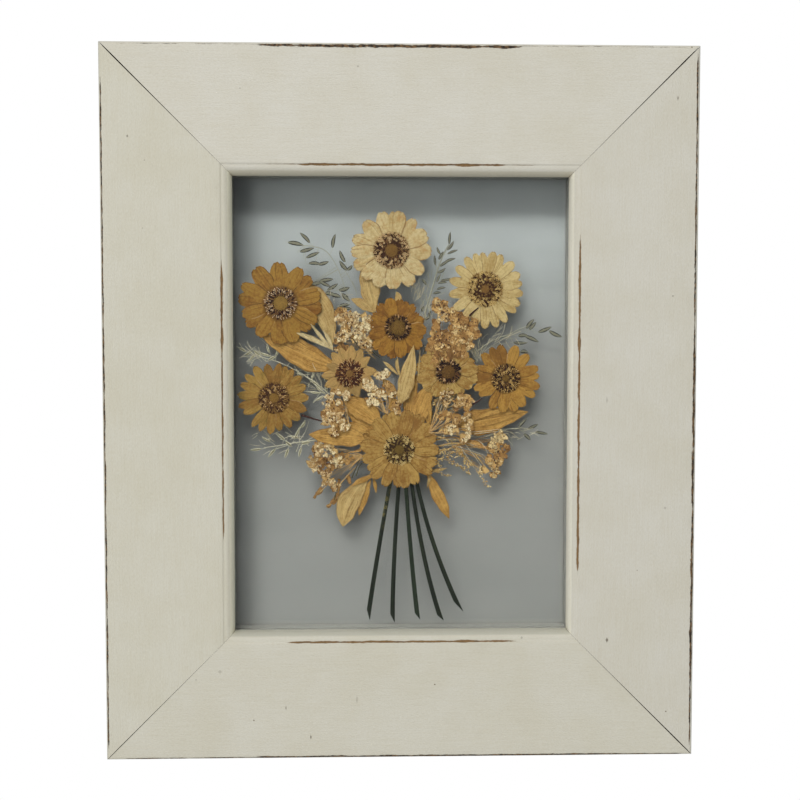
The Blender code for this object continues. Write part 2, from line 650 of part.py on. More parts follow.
def make_sprig(name, stem, spikelets, material, parts, cutters):
    """Make a grass sprig: a thin stem, and spikelets on short stalks, joined in one piece."""
    height = layer_floor(0) + GRASS_HEIGHT
    stem = [Vector(point) for point in stem]
    curve = bpy.data.curves.new(name, "CURVE")
    curve.dimensions = "3D"
    curve.bevel_depth = GRASS_RADIUS
    curve.bevel_resolution = 0
    curve.use_fill_caps = True
    spline = curve.splines.new("POLY")
    spline.points.add(len(stem) - 1)
    for point, spot in zip(spline.points, stem):
        point.co = (*place(spot.x * MM, height, spot.y * MM), 1)
    tube = bpy.data.objects.new(name + "_line", curve)
    bpy.context.scene.collection.objects.link(tube)
    mesh = bpy.data.meshes.new_from_object(tube.evaluated_get(bpy.context.evaluated_depsgraph_get()))
    bpy.data.objects.remove(tube, do_unlink=True)
    bm = bmesh.new()
    bm.from_mesh(mesh)
    bmesh.ops.remove_doubles(bm, verts=bm.verts, dist=0.00001)
    bmesh.ops.triangulate(bm, faces=bm.faces)
    bm.to_mesh(mesh)
    bm.free()
    mesh.materials.clear()
    sprig = finish_object(name, mesh, material, parts)
    growth = bmesh.new()
    for index, (x, z, length, degrees) in enumerate(spikelets):
        heading = Vector((math.sin(math.radians(degrees)), math.cos(math.radians(degrees))))
        foot = Vector((x, z)) - heading * length / 2
        tip = foot + heading * length
        # slightly different heights keep neighbouring spikelets from sharing a face or an edge
        lift = ((index * 7) % 11 - 5) * SPIKELET_LIFT
        root = nearest_on(stem, foot - heading * (STALK_LEAN + 0.5 * (index % 3)))
        add_spikelet(growth, root, foot, tip, height + lift)
    growth_mesh = mesh_from(growth, name + "_growth", turn_out=False)
    side_growth = finish_object(name + "_growth", growth_mesh, material, cutters)
    side_growth.hide_render = True
    side_growth.display_type = "WIRE"
    joined = sprig.modifiers.new("joined", "BOOLEAN")
    joined.operation = "UNION"
    joined.object = side_growth
    joined.use_self = True
    return sprig


def make_sprigs(parts, cutters):
    """Make the grass sprigs that stand out from behind the flowers."""
    dry = make_material("dry_grass", (0.12, 0.12, 0.08), 0.75)
    straw = make_material("pale_grass", (0.30, 0.29, 0.22), 0.75)
    # each spikelet is its middle, its length and its lean clockwise from upright, in degrees
    make_sprig(
        "grass_upper_left",
        [(-41.5, 68.0), (-37.0, 67.5), (-32.5, 66.0), (-29.0, 62.0), (-26.0, 56.0), (-22.5, 46.0),
         (-20.0, 38.0)],
        [(-41.0, 71.0, 5.6, -45), (-45.2, 68.8, 6.0, -83), (-40.8, 65.6, 5.8, -102), (-38.0, 63.2, 5.8, -112),
         (-35.2, 60.0, 8.2, -92), (-28.6, 70.0, 5.8, 12), (-25.3, 63.6, 5.4, -24), (-25.2, 59.2, 4.6, -38),
         (-21.6, 60.0, 3.6, 45), (-31.8, 53.4, 4.8, -80), (-28.8, 50.6, 4.2, 48), (-24.6, 49.2, 4.8, 72),
         (-29.6, 47.4, 4.6, -88), (-24.0, 45.4, 4.8, -42)],
        dry, parts, cutters)
    make_sprig(
        "grass_upper_right",
        [(9.5, 35.0), (11.5, 45.0), (13.5, 51.5), (16.0, 59.0), (18.6, 65.0), (20.6, 68.6)],
        [(21.2, 73.0, 5.2, 4), (22.0, 68.2, 4.4, 32), (22.8, 65.0, 4.6, 72), (15.4, 66.4, 4.0, -22),
         (14.3, 62.3, 4.6, -6), (21.0, 61.6, 5.4, 70), (18.2, 57.6, 4.2, 48), (20.0, 53.4, 5.2, 80),
         (18.4, 49.6, 4.2, 76), (15.6, 45.2, 3.8, 90), (11.0, 40.0, 3.2, 20)],
        dry, parts, cutters)
    make_sprig(
        "grass_right",
        [(31.0, 20.5), (38.0, 25.0), (44.5, 28.0), (50.0, 30.0), (54.0, 31.2), (58.0, 31.8)],
        [(56.2, 35.0, 5.2, 42), (62.0, 33.0, 5.6, 68), (67.5, 30.4, 6.0, 108), (53.4, 30.6, 5.4, 95),
         (57.4, 28.4, 5.4, 112), (52.0, 26.8, 5.2, 90)],
        dry, parts, cutters)
    make_sprig(
        "grass_lower_right",
        [(26.0, -13.0), (38.0, -11.8), (49.0, -10.8), (54.5, -11.0)],
        [(51.6, -8.0, 5.6, 40), (57.8, -9.4, 5.0, 66), (61.4, -12.2, 5.0, 104), (55.4, -14.2, 5.6, 138)],
        dry, parts, cutters)
    make_sprig(
        "grass_left",
        [(-27.5, 1.5), (-35.0, 8.0), (-43.0, 13.5), (-52.0, 18.0), (-60.0, 20.5)],
        [(-64.0, 24.0, 4.0, -50), (-65.5, 20.6, 4.4, -88), (-63.0, 17.2, 4.2, -130), (-56.5, 22.6, 4.6, -62),
         (-53.6, 22.8, 4.6, 10), (-45.5, 18.6, 4.8, -20), (-38.0, 13.6, 4.8, 8), (-36.5, 4.0, 4.6, -100)],
        straw, parts, cutters)
    make_sprig(
        "grass_lower_left",
        [(-33.0, -15.0), (-43.5, -16.2), (-52.0, -17.6), (-59.0, -18.6)],
        [(-62.5, -19.4, 4.8, -96), (-55.6, -21.0, 4.8, -140), (-49.2, -21.0, 4.4, -160),
         (-43.4, -20.6, 4.4, -165), (-58.0, -15.0, 4.4, -60), (-52.0, -13.6, 4.8, -50),
         (-44.5, -12.0, 5.6, 25)],
        straw, parts, cutters)


def main():
    """Build the frame, what it holds, and the bouquet."""
    remove_everything()
    parts = new_collection("pressed_flower_frame")
    cutters = new_collection("cutters")
    make_frame(parts, cutters)
    make_glazing(parts)
    make_points(parts)
    make_hanger(parts, cutters)
    make_sprigs(parts, cutters)
    make_stems(parts)
    make_leaves(parts)
    make_blossoms(parts)
    make_heads(parts)


main()
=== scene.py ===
"""A bouquet of pressed flowers in a wide cream frame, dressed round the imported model.

Places are in millimetres from the middle of the opening, seen from the front: x to the right, z up.
Depths are heights above the back of the rails.  spot() turns them into the model's own metres.
"""

import math
import random
from functools import partial

import bmesh
import bpy
from mathutils import Matrix, Vector, noise


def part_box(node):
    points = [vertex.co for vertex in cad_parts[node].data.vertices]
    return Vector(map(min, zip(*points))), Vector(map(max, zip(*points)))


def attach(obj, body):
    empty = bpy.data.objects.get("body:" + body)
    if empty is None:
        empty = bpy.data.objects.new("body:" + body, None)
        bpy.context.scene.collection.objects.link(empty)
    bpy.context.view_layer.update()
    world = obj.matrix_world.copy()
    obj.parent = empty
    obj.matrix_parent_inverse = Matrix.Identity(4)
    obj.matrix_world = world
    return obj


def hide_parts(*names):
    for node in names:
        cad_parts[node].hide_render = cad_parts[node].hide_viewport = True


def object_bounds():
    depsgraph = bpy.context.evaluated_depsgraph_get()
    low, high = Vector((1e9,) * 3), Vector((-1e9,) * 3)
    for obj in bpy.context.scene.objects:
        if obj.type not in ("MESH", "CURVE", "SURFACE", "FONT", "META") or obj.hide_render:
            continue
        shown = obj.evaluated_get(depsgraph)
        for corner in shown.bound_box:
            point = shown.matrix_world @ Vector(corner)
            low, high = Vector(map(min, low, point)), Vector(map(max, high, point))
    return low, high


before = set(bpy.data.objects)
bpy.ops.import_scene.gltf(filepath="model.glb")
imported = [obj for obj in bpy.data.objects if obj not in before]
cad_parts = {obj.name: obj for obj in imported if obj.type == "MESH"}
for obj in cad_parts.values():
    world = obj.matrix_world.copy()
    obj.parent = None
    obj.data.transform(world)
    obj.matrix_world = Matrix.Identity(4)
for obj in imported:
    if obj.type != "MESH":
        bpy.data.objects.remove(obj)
CAD_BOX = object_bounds()

MM = 0.001
RAIL_LOW, RAIL_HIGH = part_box("rail_left")
BACK_Y = RAIL_HIGH.y
CENTRE_Z = (RAIL_LOW.z + RAIL_HIGH.z) / 2

# The moulding, in millimetres
OPENING = (142.2, 193.0)
RAIL_WIDTH, RAIL_DEPTH = 53.9, 25.0
LIP, LIP_BACK = 5.5, 18.6
BEAD_WIDTH, BEAD_FOOT, BEAD_CREST = 3.3, 19.6, 24.5
GROOVE = 0.3
STEP_SLOPE = 0.9
OUTER_ROUND = 1.7
BACK_CHAMFER = 0.6
BEAD_STEPS, SLOPE_STEPS, ROUND_STEPS, RAIL_STEPS = 16, 7, 7, 90
FACE_SHARES = (0.1, 0.3, 0.5, 0.7, 0.9)

# Points of the outline where the paint is rubbed through, and the arrises that are knocked about
FACE_ARRIS_POINT, OUTER_ARRIS_POINT = BEAD_STEPS + 6, BEAD_STEPS + 15
BEAD_ARRIS, OUTER_ARRIS = 6, 51
DENT_DEPTH = 0.16
FACE_WEAR, OUTER_WEAR = 0.45, 0.15
WEAR_FADES_OUT, WEAR_FADES_IN = 3, 9

# The mitres: the least gap, how it widens outwards, and where and how fast it closes at the corner
MITRE_GAP, MITRE_CURVE, MITRE_END, MITRE_CLOSING = 0.04, 1.4, 1.006, 14
BACK_POINTS = 4
BROWN_BELOW = (3.8, 3.4)

# Layers between the panes
FIRST_LAYER, LAYER_PITCH = 12.75, 0.58
FLOWER_MIDDLE, FLOWER_TOP = 15, 16.3
PRESSED_FLOOR, PRESSED_TOP, PRESS_ROOM = 12.55, 16.25, 0.4
DISC_HEIGHT, DISC_FOOT, UNDER_GLASS = 0.85, 0.2, 0.12

# Heights above a layer's back
LEAF_LIFT, SMALL_LEAF_LIFT, SPRIG_LIFT, STALK_LIFT = 0.26, 0.3, 0.35, 0.4

# Columns and rows of each kind of blade, and the fold in degrees from which an edge looks sharp
PETAL_GRID, WIDE_LEAF_GRID, NARROW_LEAF_GRID = (14, 13), (14, 34), (6, 16)
SPIKELET_GRID, SCRAP_GRID, RIBBON_GRID, FLORET_GRID = (6, 8), (6, 8), (4, 24), (3, 3)
SHARP_ANGLE = 50

# Half widths of the finest threads
SPIKELET_STALK, CLUSTER_STALK, FEATHER_STALK, GRAIN_STALK = 0.1, 0.12, 0.13, 0.08
SPRIG_HAIR, LONG_HAIR, TUFT_HAIR = 0.14, 0.13, 0.11

# Where each kind of piece starts its run of chance
HEAD_SEED, LEAF_SEED, SMALL_LEAF_SEED, SPRIG_SEED, CLUSTER_SEED, WISP_SEED = 10, 40, 55, 70, 90, 120

# The camera, measured from the middle of the rails' back
CAMERA_PLACE = (-11.04, 21.24, 449.36)
CAMERA_FORWARD = Vector((0.02454, 0.99872, -0.04431))
CAMERA_RIGHT = Vector((0.99970, -0.02456, 0.00010))
CAMERA_LENS = 45.54

# The floor, in metres
FLOOR_RADIUS, FLOOR_DROP = 0.60, 0.32


def put(name, data):
    """Put a new object in the scene."""
    made = bpy.data.objects.new(name, data)
    bpy.context.scene.collection.objects.link(made)
    return made


def mesh_of(name, bm):
    """Turn a bmesh into a mesh and free it."""
    mesh = bpy.data.meshes.new(name)
    bm.to_mesh(mesh)
    bm.free()
    return mesh


def spot(x, z, height):
    """Return the model's point at a place and a height given in millimetres."""
    return Vector((x * MM, BACK_Y - height * MM, CENTRE_Z + z * MM))


def layer_floor(layer):
    """Return the height of the back of a layer of pressed pieces."""
    return FIRST_LAYER + layer * LAYER_PITCH


def pressed(height):
    """Press a height softly between the panes, so that what lies over stays over."""
    low, high = PRESSED_FLOOR + PRESS_ROOM - height, height - PRESSED_TOP + PRESS_ROOM
    if low > 0:
        return PRESSED_FLOOR + PRESS_ROOM * math.exp(-low / PRESS_ROOM)
    if high > 0:
        return PRESSED_TOP - PRESS_ROOM * math.exp(-high / PRESS_ROOM)
    return height


# What a piece notes at each vertex: how far to the side, how far along, and its shade
NOTES = ("side", "share", "tint")


# ---------------------------------------------------------------- finishes

def tone(red, green, blue):
    """Return a colour given on the 0 to 255 scale as the linear value that shaders take."""
    parts = [part / 255 for part in (red, green, blue)]
    linear = [part / 12.92 if part <= 0.04045 else ((part + 0.055) / 1.055) ** 2.4 for part in parts]
    return (*linear, 1.0)


class Wire:
    """An output of a finish's node.  Arithmetic on it adds Math nodes."""

    def __init__(self, finish, socket):
        self.finish = finish
        self.socket = socket

    def maths(self, operation, *terms):
        return self.finish.node("ShaderNodeMath", {"operation": operation}, dict(enumerate(terms)))

    def __add__(self, other):
        return self.maths("ADD", self, other)

    def __sub__(self, other):
        return self.maths("SUBTRACT", self, other)

    def __rsub__(self, other):
        return self.maths("SUBTRACT", other, self)

    def __mul__(self, other):
        return self.maths("MULTIPLY", self, other)

    def __abs__(self):
        return self.maths("ABSOLUTE", self)

    __radd__ = __add__
    __rmul__ = __mul__

    def most(self, other):
        return self.maths("MAXIMUM", self, other)

    def rise(self, low, high):
        """Go smoothly from 0 at low to 1 at high."""
        settings = {"interpolation_type": "SMOOTHSTEP"}
        sockets = {"Value": self, "From Min": low, "From Max": high}
        return self.finish.node("ShaderNodeMapRange", settings, sockets)


class Finish:
    """A material, and the few ways in which it is built up."""

    def __init__(self, name, constants):
        self.material = bpy.data.materials.new(name)
        self.material.use_nodes = True
        self.tree = self.material.node_tree
        self.shader = self.tree.nodes["Principled BSDF"]
        for socket, value in constants.items():
            self.shader.inputs[socket].default_value = value

    def node(self, kind, settings=None, sockets=None, output=0):
        """Add a node: its settings first, then the values or wires of its sockets."""
        made = self.tree.nodes.new(kind)
        for name, value in (settings or {}).items():
            setattr(made, name, value)
        for name, value in (sockets or {}).items():
            if isinstance(value, Wire):
                self.tree.links.new(value.socket, made.inputs[name])
            else:
                made.inputs[name].default_value = value
        return Wire(self, made.outputs[output])

    def set(self, socket, wire):
        self.tree.links.new(wire.socket, self.shader.inputs[socket])

    def place(self):
        """Return the surface's place in millimetres."""
        return self.scaled(self.node("ShaderNodeTexCoord", output="Object"), (1 / MM,) * 3)

    def scaled(self, vector, factors):
        return self.node("ShaderNodeVectorMath", {"operation": "MULTIPLY"}, {0: vector, 1: factors})

    def part(self, vector, axis):
        return self.node("ShaderNodeSeparateXYZ", None, {0: vector}, output=axis)

    def noted(self, name):
        """Return a number that the mesh carries at each vertex."""
        return self.node("ShaderNodeAttribute", {"attribute_name": name}, output="Fac")

    def notes(self):
        """Return all that a pressed piece notes."""
        return [self.noted(name) for name in NOTES]

    def noise(self, vector, scale=1.0, detail=3.0, roughness=0.5):
        """Return noise at a vector, which may be given as its three parts."""
        if isinstance(vector, tuple):
            vector = self.node("ShaderNodeCombineXYZ", None, dict(zip("XYZ", vector)))
        sockets = {"Vector": vector, "Scale": scale, "Detail": detail, "Roughness": roughness}
        return self.node("ShaderNodeTexNoise", None, sockets)

    def mixed(self, share, *colours):
        """Return a colour between two, the second where share is 1.  Plain ones run from 0 to 255."""
        first, second = (one if isinstance(one, Wire) else tone(*one) for one in colours)
        return self.node("ShaderNodeMix", {"data_type": "RGBA"}, {0: share, 6: first, 7: second}, output=2)

    def done(self, colour, relief, strength, distance):
        """Set the colour, raise the surface by its relief and return the material."""
        sockets = {"Height": relief, "Strength": strength, "Distance": distance * MM}
        self.set("Normal", self.node("ShaderNodeBump", None, sockets))
        self.set("Base Color", colour)
        return self.material


# Colours, each part from 0 to 255
CREAM_LIGHT, CREAM_DEEP, CREAM_STREAK = (223, 219, 205), (219, 214, 197), (190, 176, 140)
PAINT_SPECK, PAINT_DENT = (120, 104, 80), (96, 82, 62)
RUBBED_DARK, RUBBED_PALE, RUBBED_GOLDEN = (50, 42, 34), (128, 98, 64), (152, 118, 76)
# The board's top colour is painted light, and its darker colour serves both its mottle and a painted shadow
BOARD_LOW, BOARD_TOP_PAINTED_LIGHT, BOARD_MOTTLE_AND_SHADE = (160, 161, 157), (192, 198, 197), (138, 140, 136)
# A painted highlight for the petals' edges
PAINTED_EDGE_HIGHLIGHT = (222, 196, 150)


def cream_paint(name, worn, marks, painted_bead_light, painted_light_shift):
    """Cream paint brushed along a rail and rubbed through to the wood.

    A worn row is: line across the moulding, start and end along the rail, half width, share of
    the stretch that is bare.  A mark is a small dent: its place along and across, its half length
    and half width, and how dark it is.  The bead's own tone is painted light: each rail's bead is
    made lighter or darker by how it faces the lamps.  The shift makes one rail's cream a little
    paler or yellower than the next, painted light for how brightly each rail is lit.
    """
    finish = Finish(name, {"Roughness": 0.5, "Specular IOR Level": 0.4})
    along, over, place = finish.noted("along"), finish.noted("over"), finish.place()
    brushed = finish.noise((along * 0.07, over * 1.5, 0.0), 1.0, 5.0, 0.6)
    mottled = finish.noise(place, 0.035, 3.0, 0.6)
    pores = finish.noise(place, 1.6, 2.0, 0.6)
    ripple = finish.noise((along * 0.8, over * 2.6, 7.0), 1.0, 2.0, 0.6)
    # Painted light: each rail's cream is nudged paler or bluer by the shift, for how brightly that rail is
    # lit
    light, deep = ([part + more for part, more in zip(cream, painted_light_shift)]
                   for cream in (CREAM_LIGHT, CREAM_DEEP))
    paint = finish.mixed(mottled.rise(0.3, 0.7), light, deep)
    # Painted light: the bead gets its own lighter or darker cream, for how it faces the lamps
    paint = finish.mixed(over.rise(BEAD_WIDTH + 1.6, BEAD_WIDTH + 2.6), painted_bead_light, paint)
    paint = finish.mixed((brushed * 0.5 + ripple * 0.7).rise(0.45, 0.8) * 0.2, paint, CREAM_STREAK)
    speck = finish.node("ShaderNodeTexVoronoi", None, {"Vector": place, "Scale": 0.055})
    paint = finish.mixed(1 - speck.rise(0.012, 0.02), paint, PAINT_SPECK)
    ragged = finish.noise((along * 0.13, over * 0.7, 3.0), 1.0, 5.0, 0.68)
    bare = 0.0
    for line, start, end, half, share in worn:
        starts = along.rise(start - WEAR_FADES_OUT, start + WEAR_FADES_IN)
        inside = starts * (1 - along.rise(end - WEAR_FADES_IN, end + WEAR_FADES_OUT))
        reach = (ragged - (0.64 - 0.38 * share)) * (half * 4.0) - (1 - inside) * (half * 2.5)
        patch = 1 - (abs(over - line) - reach.most(-1.0)).rise(-0.12, 0.14)
        bare = patch.most(bare)
    dents = 0.0
    for at_along, at_over, half_length, half_width, dark in marks:
        away = abs((along - at_along) * (1 / half_length)) + abs((over - at_over) * (1 / half_width))
        dents = ((1 - (away + ragged * 0.8).rise(0.8, 1.3)) * dark).most(dents)
    paint = finish.mixed(dents, paint, PAINT_DENT)
    wood = finish.mixed(finish.noise(place, 0.9, 3.0).rise(0.35, 0.7), RUBBED_DARK, RUBBED_PALE)
    wood = finish.mixed((1 - over.rise(8.0, 10.0)) * ragged.rise(0.3, 0.5) * 0.7, wood, RUBBED_GOLDEN)
    finish.set("Roughness", 0.42 + pores * 0.2 + bare * 0.25)
    relief = brushed * 0.5 + ripple * 1.2 + pores * 0.3 - bare * 0.9 - dents * 0.5
    return finish.done(finish.mixed(bare, paint, wood), relief, 0.7, 0.22)


def bare_wood():
    """Pale sawn wood with its grain along the rail."""
    finish = Finish("bare_pine", {"Roughness": 0.72})
    along, over = finish.noted("along"), finish.noted("over")
    wander = finish.noise(finish.place(), 0.012, 2.0)
    grain = finish.noise((along * 0.006, over * 0.24 + wander * 3.0, 1.0), 1.0, 5.0, 0.65)
    fibre = finish.noise((along * 0.09, over * 1.7, 4.0), 1.0, 4.0, 0.7)
    colour = finish.mixed(grain.rise(0.3, 0.75), (206, 172, 124), (160, 118, 74))
    colour = finish.mixed(fibre.rise(0.5, 0.9) * 0.5, colour, (120, 84, 50))
    return finish.done(colour, fibre + grain * 0.4, 0.4, 0.2)


def shaded_joint_wood():
    """The wood seen in the open mitres: darker end grain, made darker still as painted shade for the narrow
    gaps.
    """
    finish = Finish("mitre_wood_painted_shade", {"Roughness": 0.85})
    streaks = finish.noise(finish.place(), 0.8, 3.0)
    finish.set("Base Color", finish.mixed(streaks, (46, 30, 20), (84, 58, 38)))
    return finish.material


def clear_glass():
    """Window glass that lets the lamps' light through to the flowers."""
    constants = {"Base Color": (0.99, 0.995, 0.995, 1.0), "Roughness": 0.0, "IOR": 1.45}
    finish = Finish("clear_glass", {**constants, "Transmission Weight": 1.0})
    through = finish.node("ShaderNodeBsdfTransparent", None, {"Color": (0.97, 0.975, 0.975, 1.0)})
    is_shadow = finish.node("ShaderNodeLightPath", output="Is Shadow Ray")
    mix = finish.tree.nodes.new("ShaderNodeMixShader")
    finish.tree.links.new(is_shadow.socket, mix.inputs[0])
    finish.tree.links.new(finish.shader.outputs[0], mix.inputs[1])
    finish.tree.links.new(through.socket, mix.inputs[2])
    output = finish.tree.nodes["Material Output"]
    finish.tree.links.new(mix.outputs[0], output.inputs["Surface"])
    return finish.material


def grey_board():
    """Grey card, mottled, lighter and bluer towards its top as painted light, with a painted shadow down its
    left side, brown on its back.
    """
    finish = Finish("grey_board", {"Roughness": 0.85})
    place = finish.place()
    cloud = finish.noise(place, 0.022, 3.0, 0.55)
    streak = finish.noise(finish.scaled(place, (0.008, 1.0, 0.05)), 1.0, 3.0, 0.6)
    fleck = finish.noise(place, 2.4, 2.0, 0.7)
    across, depth, height = (finish.part(place, axis) for axis in "XYZ")
    # Painted light: the card grows lighter and bluer towards its top, as if lit more from above
    grey = finish.mixed(height.rise(-125.0, -62.0), BOARD_LOW, BOARD_TOP_PAINTED_LIGHT)
    # A darker cloudy mottle over the card
    grey = finish.mixed((cloud * 0.6 + streak * 0.6).rise(0.45, 0.85) * 0.35, grey, BOARD_MOTTLE_AND_SHADE)
    # Painted shadow: the card darkens along its left edge, where the left rail shades it
    painted_left_shadow = 1 - across.rise(-70.0, -38.0)
    grey = finish.mixed(painted_left_shadow * height.rise(-190.0, -80.0) * 0.45, grey, BOARD_MOTTLE_AND_SHADE)
    brown = finish.mixed(fleck.rise(0.4, 0.75), (142, 112, 78), (116, 88, 58))
    back = depth.rise(*(BACK_Y / MM - height for height in BROWN_BELOW))
    return finish.done(finish.mixed(back, grey, brown), fleck, 0.15, 0.08)


def strip_card():
    """Grey card for the strips and spacers round the panes."""
    finish = Finish("strip_card", {"Roughness": 0.8})
    fleck = finish.noise(finish.place(), 1.8, 3.0, 0.7)
    colour = finish.mixed(fleck.rise(0.3, 0.8), (168, 168, 161), (146, 146, 140))
    return finish.done(colour, fleck, 0.2, 0.08)


def zinc_steel(name, roughness):
    """Zinc-plated sheet, dull and lightly scratched."""
    finish = Finish(name, {"Metallic": 0.6})
    place = finish.place()
    scratch = finish.noise(finish.scaled(place, (0.5, 3.0, 6.0)), 1.0, 4.0, 0.7)
    cloud = finish.noise(place, 0.5, 3.0)
    finish.set("Roughness", roughness + scratch * 0.25)
    colour = finish.mixed(cloud.rise(0.35, 0.7), (190, 190, 186), (140, 138, 132))
    return finish.done(colour, scratch, 0.15, 0.05)


def petal_finish(name, root_shade, pale, deep, edge, flush=None):
    """Dried petals: ribs lengthwise, a painted shadow along one edge and a painted highlight along the
    other, each petal of its own shade.
    """
    finish = Finish(name, {"Roughness": 0.6, "Specular IOR Level": 0.25})
    side, share, tint = finish.notes()
    place = finish.place()
    fibre = finish.noise((side * 2.6, share * 0.7, tint * 37.0), 1.6, 3.0, 0.6)
    vein = finish.noise((side * 5.5, share * 1.2, tint * 53.0), 1.5, 2.0, 0.5)
    blotch = finish.noise(place, 0.3, 4.0, 0.65)
    crinkle = finish.noise(place, 1.0, 3.0, 0.6)
    depth = (fibre * 0.4 + vein * 0.4 + blotch * 0.8 + crinkle * 0.7 + tint * 0.25).rise(1.02, 1.56)
    colour = finish.mixed(depth, pale, deep)
    if flush:
        colour = finish.mixed(blotch.rise(0.5, 0.66) * share.rise(0.1, 0.6) * 0.55, colour, flush)
    # Painted highlight along one edge of each petal
    painted_highlight = (side * -1).rise(0.8, 0.96) * fibre.rise(0.5, 0.66) * 0.34
    colour = finish.mixed(painted_highlight, colour, PAINTED_EDGE_HIGHLIGHT)
    # Painted shadow along the other edge, where the next petal overlaps
    painted_overlap_shadow = side.rise(0.8, 0.98) * (0.3 + fibre * 0.9)
    tip = share.rise(0.93, 1.0) * crinkle.rise(0.4, 0.6) * 0.75
    root = (1 - share.rise(0.16, 0.28)) * root_shade
    furrow = (1 - abs(abs(side) - 0.36).rise(0.02, 0.13)) * vein.rise(0.46, 0.66) * 0.45
    old = tint.rise(1.0, 1.3) * (0.04 + blotch * 0.3)
    colour = finish.mixed(painted_overlap_shadow.most(tip).most(root).most(furrow).most(old), colour, edge)
    return finish.done(colour, fibre + vein * 0.6 + crinkle * 0.9 - furrow * 0.3, 0.75, 0.16)


def disc_finish(name, heart, dark, middle, pale):
    """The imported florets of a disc: an even heart, and a dark ring with pale mouths."""
    finish = Finish(name, {"Roughness": 0.7, "Specular IOR Level": 0.2})
    in_ring, level = finish.noted("side"), finish.noted("tint")
    grain = finish.noise(finish.place(), 1.7, 3.0, 0.7)
    ring = finish.mixed(level.rise(0.1, 0.45), dark, middle)
    ring = finish.mixed(level.rise(0.6, 0.9), ring, pale)
    core = finish.mixed((grain * 0.9 + level * 0.4).rise(0.3, 0.8) * 0.6 + 0.4, dark, heart)
    return finish.done(finish.mixed(in_ring, core, ring), grain, 0.4, 0.1)


def leaf_finish(name, pale, deep, streak):
    """Dried leaf blades: parallel veins, a pale midrib and browner patches."""
    finish = Finish(name, {"Roughness": 0.55, "Specular IOR Level": 0.3})
    side, share, tint = finish.notes()
    place = finish.place()
    vein = finish.noise((side * 5.0, share * 1.5, tint * 31.0), 1.7, 5.0, 0.7)
    thread = finish.noise((side * 14.0, share * 1.6, tint * 17.0), 1.5, 2.0, 0.5)
    patch = finish.noise(place, 0.2, 4.0, 0.65)
    crinkle = finish.noise(place, 0.9, 3.0, 0.6)
    colour = finish.mixed((vein * 0.6 + patch * 0.6 + crinkle * 0.3).rise(0.55, 0.95), pale, deep)
    colour = finish.mixed((vein * 0.5 + thread * 0.4 + crinkle * 0.2).rise(0.55, 0.7) * 0.8, colour, streak)
    rib = (1 - abs(side).rise(0.02, 0.1)) * 0.4
    colour = finish.mixed(rib, colour, pale)
    rim = abs(side).rise(0.82, 1.0) * (patch * 1.1)
    relief = vein + thread * 0.5 + rib + crinkle * 0.8
    return finish.done(finish.mixed(rim, colour, streak), relief, 0.8, 0.2)


def stem_finish():
    """Dark green stems with paler ribs, yellowing under the big flower."""
    finish = Finish("green_stem", {"Roughness": 0.6, "Specular IOR Level": 0.25})
    side, share, tint = finish.notes()
    rib = finish.noise((side * 6.0, share * 2.0, tint * 23.0), 1.6, 3.0, 0.6)
    mottle = finish.noise(finish.place(), 0.5, 3.0, 0.7)
    colour = finish.mixed(rib.rise(0.35, 0.75), (18, 24, 14), (46, 54, 34))
    colour = finish.mixed(tint.rise(0.4, 0.6) * 0.3, colour, (48, 66, 44))
    old = (1 - share.rise(0.3, 0.42)) * mottle.rise(0.45, 0.62) * (1 - tint.rise(0.1, 0.3))
    return finish.done(finish.mixed(old * 0.7, colour, (138, 126, 72)), rib, 0.5, 0.12)


def grass_finish(name, husk, rim, stalk):
    """Grass: spikelets pale in the middle and dark along their edges, on thin stalks."""
    finish = Finish(name, {"Roughness": 0.6})
    side, share, tint = finish.notes()
    streak = finish.noise((side * 2.0, share * 3.0, tint * 19.0), 2.0, 2.0)
    seam = (abs(side) + (streak - 0.5) * 0.7).rise(0.3, 0.68)
    keel = (1 - abs(side).rise(0.02, 0.2)) * 0.4
    blade = finish.mixed(seam.most(keel), husk, rim)
    return finish.done(finish.mixed(tint.rise(1.4, 1.6), blade, stalk), streak, 0.3, 0.1)


def blossom_finish(name, fresh, aged, outline, heart):
    """Tiny crumpled blossoms: paler on top, golden at their edges, brown at the heart, with painted shade in
    their folds and partly between their layers.
    """
    finish = Finish(name, {"Roughness": 0.7, "Specular IOR Level": 0.3})
    side, share, tint = finish.notes()
    place = finish.place()
    crumple = finish.noise(place, 1.1, 4.0, 0.7)
    fleck = finish.noise(place, 2.6, 2.0, 0.6)
    colour = finish.mixed((crumple * 1.0 + fleck * 0.6 + tint * 0.55).rise(0.7, 1.35), fresh, aged)
    # Outlines: the blossoms' own brown edges, and partly painted shade between their layers
    rim = abs(side).rise(0.5, 0.95).most(share.rise(0.76, 1.0)) * crumple.rise(0.4, 0.56)
    colour = finish.mixed((rim * 0.8).most(tint.rise(1.15, 1.6) * 0.7), colour, outline)
    # Painted shade in the creases of the crumpled petals
    fold = (fleck * 0.7 + crumple * 0.5).rise(0.64, 0.76) * 0.5
    colour = finish.mixed(fold, colour, outline)
    dark = (1 - share.rise(-0.6, -0.2)).most((1 - share.rise(0.0, 0.25)) * 0.35)
    return finish.done(finish.mixed(dark, colour, heart), crumple + fleck * 0.4, 0.8, 0.24)


# ---------------------------------------------------------------- the camera, floor and light

def set_camera():
    """Put the camera where the photograph was taken from."""
    data = bpy.data.cameras.new("camera")
    data.lens = CAMERA_LENS
    data.clip_start = 0.01
    x, z, away = CAMERA_PLACE
    forward = CAMERA_FORWARD.normalized()
    right = (CAMERA_RIGHT - forward * CAMERA_RIGHT.dot(forward)).normalized()
    turn = Matrix((right, right.cross(forward), -forward)).transposed().to_4x4()
    camera = put("camera", data)
    camera.matrix_world = Matrix.Translation(spot(x, z, away)) @ turn
    bpy.context.scene.camera = camera


